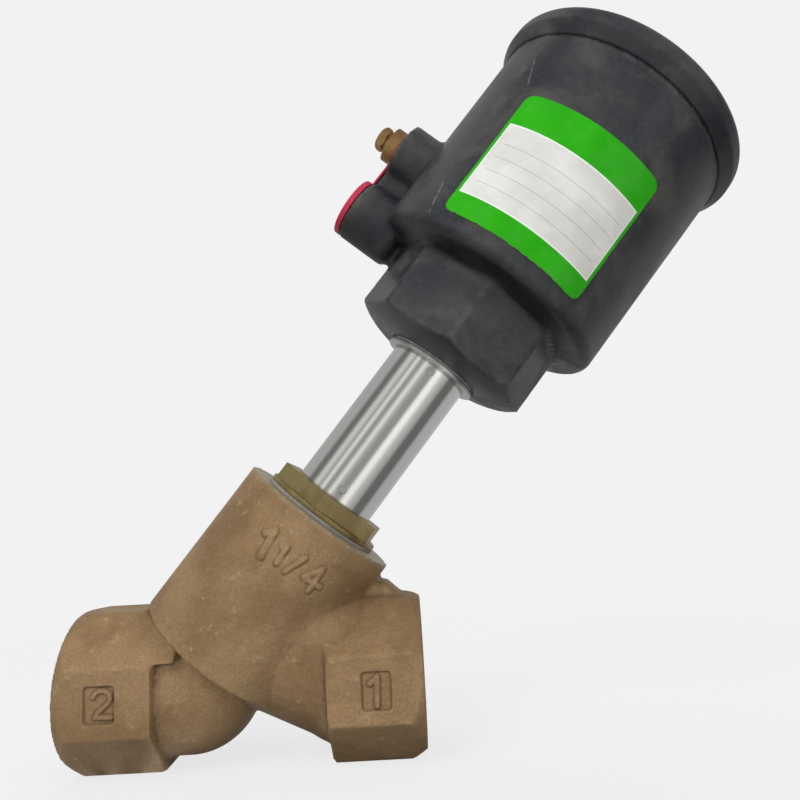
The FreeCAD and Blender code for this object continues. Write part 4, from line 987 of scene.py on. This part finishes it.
def true_up(made):
    """Puts the drum, its bore and its top rim back on their surfaces, and paints shadow along the seam under
    the cap and shade on the downward faces of its underside.
    """
    mesh = made.data
    upright, radius = seen_on_neck(read_points(mesh))
    drum = DRUM_RADIUS + DRUM_DRAFT * (upright[:, 2] - CASING_UNDER) / (CASING_TOP - CASING_UNDER)
    wall = (np.abs(radius - drum) < 0.5) & (upright[:, 2] > CASING_UNDER)
    upright[wall, :2] *= (drum[wall] / radius[wall])[:, None]
    bore = (np.abs(radius - MODELLED_BORE) < NEAR_TURNED) & (upright[:, 2] > BORE_LOW)
    upright[bore, :2] *= (BORE_RADIUS / radius[bore])[:, None]
    top = np.abs(upright[:, 2] - CASING_TOP) < NEAR_TURNED
    upright[top, 2] = CASING_TOP + CAP_COVERS
    # Painted shadow on the wall just under the cap, and painted shade on the faces of the underside that look
    # down.
    seam_shadow = soft_step(upright[:, 2], CASING_TOP - 1.1, CASING_TOP - 0.4)
    facing_down = np.clip(-read_normals(mesh) @ np.array(neck_axis), 0, 1)
    low_down = soft_step(upright[:, 2], *UNDERSIDE) * (1 - soft_step(upright[:, 2], *DRUM_FOOT))
    underside_shade = 0.85 * facing_down * low_down
    keep_attribute(mesh, "painted_shade", np.maximum(np.maximum(read_values(mesh, "painted_shade"), seam_shadow), underside_shade))
    write_points(mesh, moved(upright * MM, on_neck))
    print(made.name, int(wall.sum()), "on the drum,", int(bore.sum()), "in the bore")


true_up(casing_skin)

# %% Thin the casing's inner walls, and dress it
upright, neck_distance = seen_on_neck(read_points(casing_skin.data))
hidden = (neck_distance < MODELLED_BORE + 2) & (upright[:, 2] > HUB_LOW + 0.5)
thin_inside(casing_skin, hidden, MOST_TRIANGLES)
casing_skin.data.shade_smooth()
dress(casing_skin, finishes["black_moulding"], "actuator", "black_moulding", "actuator_casing")

# %% [markdown]
# ## Turned and small pieces
# Lathe work has crisp edges with a small broken corner. A copy of the CAD node is welded, its flats
# are joined to single faces, and a narrow bevel breaks every sharp edge. Smooth shading with sharp
# edges kept does the rest. The polished tube mirrors so sharply that its facets would show, so its
# wall gets the normals of a true cylinder.
# %% Broken edges for machined pieces
SHARP = math.radians(32)


def machined(name, node, width, steps=2):
    """CAD node with its sharp edges broken by a narrow bevel, on its own body and slot."""
    made = add_object(name, welded_copy(node, join_flats=True))
    if width:
        edge = made.modifiers.new("broken_edges", "BEVEL")
        edge.width = width
        edge.segments = steps
        edge.limit_method = "ANGLE"
        edge.angle_limit = math.radians(28)
        edge.use_clamp_overlap = False
        settle(made)
    made.data.shade_smooth()
    made.data.set_sharp_from_angle(angle=SHARP)
    level = made.modifiers.new("level_faces", "WEIGHTED_NORMAL")
    level.keep_sharp = True
    settle(made)
    record = frame["record"]
    slot = [part["material_slot"] for part in record["subparts"] if part["node"] == node][0]
    body = [key for key, names in record["behaviour"]["bodies"].items() if node in names][0]
    return dress(made, finishes[slot], body, slot, node)


print("bevel helper ready")

# %% True round shading for the tube
def round_shading(made, radius):
    """Gives a turned wall the normals of a true cylinder round the neck's axis."""
    mesh = made.data
    upright, reach = seen_on_neck(read_points(mesh))
    outward = upright * (1, 1, 0)
    radial = moved(outward / np.maximum(reach, 1e-6)[:, None], on_neck.to_3x3().to_4x4())
    wall = np.abs(reach - radius) < 0.02
    normals = [Vector(corner.vector) for corner in mesh.corner_normals]
    for face in mesh.polygons:
        spots = list(face.vertices)
        if wall[spots].all() and face.normal.dot(Vector(radial[spots].mean(0)).normalized()) > 0.8:
            for loop, spot in zip(face.loop_indices, spots):
                normals[loop] = Vector(radial[spot])
    mesh.normals_split_custom_set(normals)
    print(made.name, int(wall.sum()), "vertices on the wall")


print("round shading helper ready")

# %% The turned and moulded pieces, each with its width of broken edge in millimetres
TUBE_RADIUS = 14.0
PIECES = [("bonnet_head", "bonnet", 0.3, 2), ("tube_polished", "housing_tube", 0.0, 2),
          ("tube_ring", "tube_flange", 0.35, 3), ("pin_low", "lower_tube_pin", 0.12, 2),
          ("pin_high", "upper_tube_pin", 0.12, 2), ("cap_moulding", "actuator_cap", 0.5, 3),
          ("dome_clear", "indicator_dome", 0.2, 2), ("vent_head", "exhaust_vent", 0.25, 2),
          ("pilot_sleeve", "pilot_insert", 0.2, 2), ("plug_red", "pilot_plug", 0.3, 3),
          ("strap_eye", "strap_loop", 0.15, 2), ("gasket_ring", "bonnet_gasket", 0.1, 2),
          ("flag_orange", "position_indicator", 0.3, 2)]
pieces = {name: machined(name, node, width * MM, steps) for name, node, width, steps in PIECES}
for name in ("pin_low", "pin_high"):
    pieces[name].data.materials[0] = finishes["dull_steel"]
round_shading(pieces["tube_polished"], TUBE_RADIUS)

# %% [markdown]
# ## Springs that close the valve
# Two coils push the piston down. In the frame they are rigid, at their rest length. When the piston
# rises they have to shorten between it and the spring plate, or they would cut through it. Here each is
# only copied from its CAD node and given a mesh of its own.
# %% Closing springs, copied from their CAD nodes
for name, node in (("outer_coil", "outer_spring"), ("inner_coil", "inner_spring")):
    coil = machined(name, node, 0.0)
    heights = seen_on_neck(read_points(coil.data))[0][:, 2]
    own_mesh(coil)

# %% [markdown]
# ## Label plate
# The foil lies on the drum. Its print needs flat coordinates that run from 0 to 1 across and up, so
# each corner gets them from its angle round the neck and its height.
# %% Label plate, with its own flat coordinates for the print
LABEL_TURN = math.radians(2.0)
LABEL_RADIUS = 43.4
label_plate = machined("label_plate", "label", 0.0)
upright = seen_on_neck(read_points(label_plate.data))[0]
across = (np.arctan2(upright[:, 0], -upright[:, 1]) - LABEL_TURN) * LABEL_RADIUS
height = upright[:, 2] - upright[:, 2].min()
label_places = label_plate.data.uv_layers.new(name="label_place")
for loop in label_plate.data.loops:
    spot = loop.vertex_index
    label_places.data[loop.index].uv = (across[spot] / LABEL_ACROSS + 0.5, height[spot] / LABEL_UP)
print("label", round(float(np.ptp(across)), 1), "by", round(float(height.max()), 1), "mm")

# %% [markdown]
# ## Threads and ribs
# A thread is one ridge that follows a helix, and the cap's ribs repeat round its middle. Geometry
# Nodes make both from a few named sizes, and the result is turned into a plain mesh.
# %% Helpers for Geometry Nodes
def new_tree(name, inputs):
    """Empty geometry tree with named inputs, given as (name, socket kind)."""
    tree = bpy.data.node_groups.new(name, "GeometryNodeTree")
    for label, kind in inputs:
        tree.interface.new_socket(label, in_out="INPUT", socket_type="NodeSocket" + kind)
    tree.interface.new_socket("Geometry", in_out="OUTPUT", socket_type="NodeSocketGeometry")
    return tree, tree.nodes.new("NodeGroupInput"), tree.nodes.new("NodeGroupOutput")


def close_tree(tree, entry, leave, geometry):
    """Ends a tree with Realize Instances and Set Material."""
    real = add_node(tree, "GeometryNodeRealizeInstances", {0: geometry})
    material = entry.outputs["Material"]
    finish = add_node(tree, "GeometryNodeSetMaterial", {0: real.outputs[0], "Material": material})
    tree.links.new(finish.outputs[0], leave.inputs[0])


def sweep(tree, line, radius, sides):
    """Closed bar of even section along a line."""
    section = add_node(tree, "GeometryNodeCurvePrimitiveCircle", {"Resolution": sides, "Radius": radius})
    bar = {"Curve": line.outputs[0], "Profile Curve": section.outputs[0], "Fill Caps": True}
    return add_node(tree, "GeometryNodeCurveToMesh", bar)


def grown(name, tree, place, values):
    """Object made by a tree from its named values, as a plain mesh put in its place."""
    made = add_object(name, bpy.data.meshes.new(name))
    modifier = made.modifiers.new("grow", "NODES")
    modifier.node_group = tree
    for item in tree.interface.items_tree:
        if item.in_out == "INPUT":
            modifier[item.identifier] = values[item.name]
    settle(made)
    made.data.transform(place)
    made.data.shade_smooth()
    made.data.set_sharp_from_angle(angle=math.radians(40))
    return made


print("tree helpers ready")

# %% [markdown]
# ### Pipe threads
# Both mouths are tapped for a G 1 1/4 pipe, with 11 turns to the inch. The frame's bores are plain, so
# a three-sided ridge is swept along a helix, with its crest towards the pipe's axis.
# %% Pipe threads
THREAD_START = 1.3 * MM


def thread_tree():
    """A three-sided ridge that follows a helix."""
    names = [("Ridge Radius", "Float"), ("Pitch", "Float"), ("Turns", "Float"), ("Depth", "Float"),
             ("Material", "Material")]
    tree, entry, leave = new_tree("thread_ridge", names)
    radius, turns = entry.outputs["Ridge Radius"], entry.outputs["Turns"]
    coil = {"Resolution": 56, "Rotations": turns, "Start Radius": radius, "End Radius": radius,
            "Height": times(tree, entry.outputs["Pitch"], turns)}
    helix = add_node(tree, "GeometryNodeCurveSpiral", coil)
    upright = add_node(tree, "GeometryNodeSetCurveNormal", {"Curve": helix.outputs[0]}, mode="Z_UP")
    ridge = sweep(tree, upright, entry.outputs["Depth"], 3)
    close_tree(tree, entry, leave, ridge.outputs[0])
    return tree


threads = thread_tree()
quarter = math.radians(90)
into_inlet = Matrix.Translation((THREAD_START, 0, 0)) @ Matrix.Rotation(quarter, 4, "Y")
into_outlet = Matrix.Translation((PORT_TO_PORT * MM - THREAD_START, 0, 0)) @ Matrix.Rotation(-quarter, 4, "Y")
pipe_thread = {"Ridge Radius": (THREAD_RADIUS - 0.205) * MM, "Pitch": 2.309 * MM, "Turns": 7.2,
               "Depth": 1.25 * MM, "Material": finishes["cast_bronze"]}
for name, place in (("inlet_thread", into_inlet), ("outlet_thread", into_outlet)):
    ridge = grown(name, threads, place, pipe_thread)
    keep_attribute(ridge.data, "faced", np.ones(len(ridge.data.vertices)))
    dress(ridge, finishes["cast_bronze"], "valve", "cast_bronze")

# %% [markdown]
# ### Ribs on the cap
# The cap's top is stiffened by straight ribs that spread from the dome. One rib is swept along a
# line, and copies of it are turned by equal steps, so their number is one input.
# %% Ribs on the cap, round the dome
CAP_TOP = 244.4


def rib_tree():
    """Straight round-backed ribs that repeat round an axis."""
    names = [("Count", "Int"), ("Inner Radius", "Float"), ("Outer Radius", "Float"), ("Half Width", "Float"),
             ("Material", "Material")]
    tree, entry, leave = new_tree("radial_ribs", names)
    start = add_node(tree, "ShaderNodeCombineXYZ", {"X": entry.outputs["Inner Radius"]})
    end = add_node(tree, "ShaderNodeCombineXYZ", {"X": entry.outputs["Outer Radius"]})
    ends = {"Start": start.outputs[0], "End": end.outputs[0]}
    line = add_node(tree, "GeometryNodeCurvePrimitiveLine", ends)
    rib = sweep(tree, line, entry.outputs["Half Width"], 12)
    count = entry.outputs["Count"]
    points = add_node(tree, "GeometryNodeMeshLine", {"Count": count, "Offset": (0.0, 0.0, 0.0)})
    index = tree.nodes.new("GeometryNodeInputIndex")
    step = calc(tree, "DIVIDE", 2 * math.pi, count)
    turn = add_node(tree, "ShaderNodeCombineXYZ", {"Z": times(tree, index.outputs[0], step)})
    around_axis = add_node(tree, "FunctionNodeEulerToRotation", {0: turn.outputs[0]})
    copies = {"Points": points.outputs[0], "Instance": rib.outputs[0], "Rotation": around_axis.outputs[0]}
    spread = add_node(tree, "GeometryNodeInstanceOnPoints", copies)
    close_tree(tree, entry, leave, spread.outputs[0])
    return tree


ribs = grown("cap_ribs", rib_tree(), on_neck @ Matrix.Translation((0, 0, (CAP_TOP - 0.5) * MM)),
             {"Count": 8, "Inner Radius": 15 * MM, "Outer Radius": 38 * MM, "Half Width": 1.1 * MM,
              "Material": finishes["black_moulding"]})
dress(ribs, finishes["black_moulding"], "actuator", "black_moulding")

# %% [markdown]
# ## Floor, background and light
# A pale floor runs out to a pale world, both the tone of the photograph's background where the camera
# sees them. Soft lamps light the object at a plain level. Polished metal shows the room itself, so the
# room also has panels that only mirrored rays see: tall bright strips with dark gaps between them,
# given by their angle round the neck's axis.
# %% Panels: tall bright strips with dark gaps round the neck's axis, for the metal to mirror
PANELS = [(-180, 0.42), (-100, 0.42), (-86, 0.17), (-76, 0.17), (-62, 0.64), (-55, 0.62), (-49, 0.35),
          (-38, 0.86), (-29, 0.32), (-24, 0.34), (-13, 0.84), (-2, 0.44), (6, 0.30), (16, 0.30), (28, 1.0),
          (34, 1.0), (46, 0.55), (58, 0.40), (68, 0.13), (86, 0.12), (100, 0.40), (179, 0.42)]
PANEL_STRENGTH = 1.3


def make_panels():
    """Brightness of the room in a direction, given across the neck and towards the viewer's side."""
    inputs = [("Across", "Float", 0.0), ("Front", "Float", 0.0)]
    group, entry, leave = new_group("panels", inputs, [("Level", "Color")])
    turn = calc(group, "ARCTAN2", entry.outputs["Across"], entry.outputs["Front"])
    share = calc(group, "MULTIPLY_ADD", turn, 0.5 / math.pi, 0.5)
    levels = add_node(group, "ShaderNodeValToRGB", {0: share})
    levels.color_ramp.interpolation = "EASE"
    stops = levels.color_ramp.elements
    while len(stops) > 1:
        stops.remove(stops[-1])
    for number, (angle, level) in enumerate(PANELS):
        stop = stops[0] if number == 0 else stops.new(angle / 360 + 0.5)
        stop.position = angle / 360 + 0.5
        stop.color = (level, level, level, 1)
    send_out(group, leave, Level=levels.outputs["Color"])
    return group


room_panels = make_panels()
print(room_panels.name, len(PANELS))

# %% [markdown]
# ### Floor
# The camera sees the floor at the background's tone, with only a soft shadow under the object, while
# the light that it throws back on the object is weaker. Mirrored rays see the panels in it. They are
# laid out from the point where the neck's axis meets the floor, stretched by the neck's lean.
# %% Floor
BACKGROUND = (0.888, 0.888, 0.888, 1)
FLOOR_REACH = 6.0
FLOOR_TONE = (0.9, 0.9, 0.9, 1)
THROWN_BACK = (0.3, 0.3, 0.3, 1)
SHADOW_SHARE = 0.16
AXIS_ON_FLOOR = 16.6 * MM
LEAN_STRETCH = 1.296
floor_low = CAD_LOW.z - 0.1 * MM
corners = [(x * FLOOR_REACH, y * FLOOR_REACH, floor_low) for x, y in ((-1, -1), (1, -1), (1, 1), (-1, 1))]
floor_mesh = bpy.data.meshes.new("floor")
floor_mesh.from_pydata(corners, [], [(0, 1, 2, 3)])
floor = add_object("floor", floor_mesh)
floor_finish, tree, shader, where = new_material("floor_finish", Roughness=0.9)
rays = tree.nodes.new("ShaderNodeLightPath").outputs
tone = blend(tree, rays["Is Camera Ray"], THROWN_BACK, FLOOR_TONE)
tree.links.new(tone, shader.inputs["Base Color"])
spot = add_node(tree, "ShaderNodeSeparateXYZ", {0: where})
beside = calc(tree, "DIVIDE", calc(tree, "SUBTRACT", spot.outputs["X"], AXIS_ON_FLOOR), LEAN_STRETCH)
strips = use_group(tree, room_panels, Across=beside, Front=times(tree, spot.outputs["Y"], -1.0))
tone = blend(tree, rays["Is Glossy Ray"], BACKGROUND, strips.outputs["Level"])
strength = calc(tree, "MULTIPLY_ADD", rays["Is Glossy Ray"], PANEL_STRENGTH - 1, 1.0)
glow = add_node(tree, "ShaderNodeEmission", {"Color": tone, "Strength": strength})
seen = calc(tree, "MAXIMUM", rays["Is Camera Ray"], rays["Is Glossy Ray"])
seen = calc(tree, "MAXIMUM", seen, rays["Is Transmission Ray"])
away = add_node(tree, "ShaderNodeVectorMath", {0: where}, operation="LENGTH").outputs["Value"]
far = ramp(tree, away, 0.08, 0.5)
share = times(tree, seen, calc(tree, "MULTIPLY_ADD", far, SHADOW_SHARE, 1 - SHADOW_SHARE))
mixed = add_node(tree, "ShaderNodeMixShader", {0: share, 1: shader.outputs[0], 2: glow.outputs[0]})
tree.links.new(mixed.outputs[0], tree.nodes["Material Output"].inputs["Surface"])
floor_mesh.materials.append(floor_finish)
print("floor at", round(floor_low, 4))

# %% [markdown]
# ### World
# The world answers three kinds of ray apart. The camera, and what it sees through the clear dome, gets
# the plain background. Mirrored rays get the panels. All others get a soft, slightly cool light.
# %% World: soft light, a pale background and the panels
SOFT_COLOUR = (0.95, 0.97, 1.0, 1)
SOFT_STRENGTH = 0.38
world = bpy.data.worlds.new("studio")
world.use_nodes = True
tree = world.node_tree
tree.nodes.clear()
rays = tree.nodes.new("ShaderNodeLightPath").outputs
soft = add_node(tree, "ShaderNodeBackground", {"Color": SOFT_COLOUR, "Strength": SOFT_STRENGTH})
pale = add_node(tree, "ShaderNodeBackground", {"Color": BACKGROUND, "Strength": 1.0})
sky = tree.nodes.new("ShaderNodeTexCoord").outputs["Generated"]
sideways = vector_calc(tree, "DOT_PRODUCT", sky, across_neck).outputs["Value"]
depth = add_node(tree, "ShaderNodeSeparateXYZ", {0: sky}).outputs["Y"]
strips = use_group(tree, room_panels, Across=sideways, Front=times(tree, depth, -1.0))
room = add_node(tree, "ShaderNodeBackground", {"Color": strips.outputs["Level"], "Strength": PANEL_STRENGTH})
lighting = {0: rays["Is Glossy Ray"], 1: soft.outputs[0], 2: room.outputs[0]}
glossy = add_node(tree, "ShaderNodeMixShader", lighting)
seen = calc(tree, "MAXIMUM", rays["Is Camera Ray"], rays["Is Transmission Ray"])
final = add_node(tree, "ShaderNodeMixShader", {0: seen, 1: glossy.outputs[0], 2: pale.outputs[0]})
out = tree.nodes.new("ShaderNodeOutputWorld")
tree.links.new(final.outputs[0], out.inputs["Surface"])
bpy.context.scene.world = world
bpy.context.scene.view_settings.view_transform = "Standard"
print("world", world.name)

# %% [markdown]
# ### Lamps
# Four large soft lamps: the key from the upper left, a weaker one at the right side, one from the
# front and one from above. They are hidden from mirrored rays, because the panels take that part.
# %% Lamps, each with its place, width, height and power
LAMPS = [("key", (-0.45, -0.7, 0.75), 0.5, 0.5, 6.6), ("side", (0.85, -0.55, 0.35), 0.35, 0.8, 1.9),
         ("front", (0.1, -1.0, 0.2), 0.5, 0.5, 3.2), ("top", (0.1, 0.25, 0.9), 0.7, 0.5, 2.6)]
LIT_MIDDLE = Vector((0.11, 0.0, 0.09))
for name, place, width, height, power in LAMPS:
    light = bpy.data.lights.new(name, "AREA")
    light.shape = "RECTANGLE"
    light.size = width
    light.size_y = height
    light.energy = power
    lamp = add_object(name, light)
    lamp.location = place
    lamp.rotation_mode = "QUATERNION"
    lamp.rotation_quaternion = (LIT_MIDDLE - Vector(place)).to_track_quat("-Z", "Y")
    lamp.visible_glossy = False
print(len(LAMPS), "lamps")
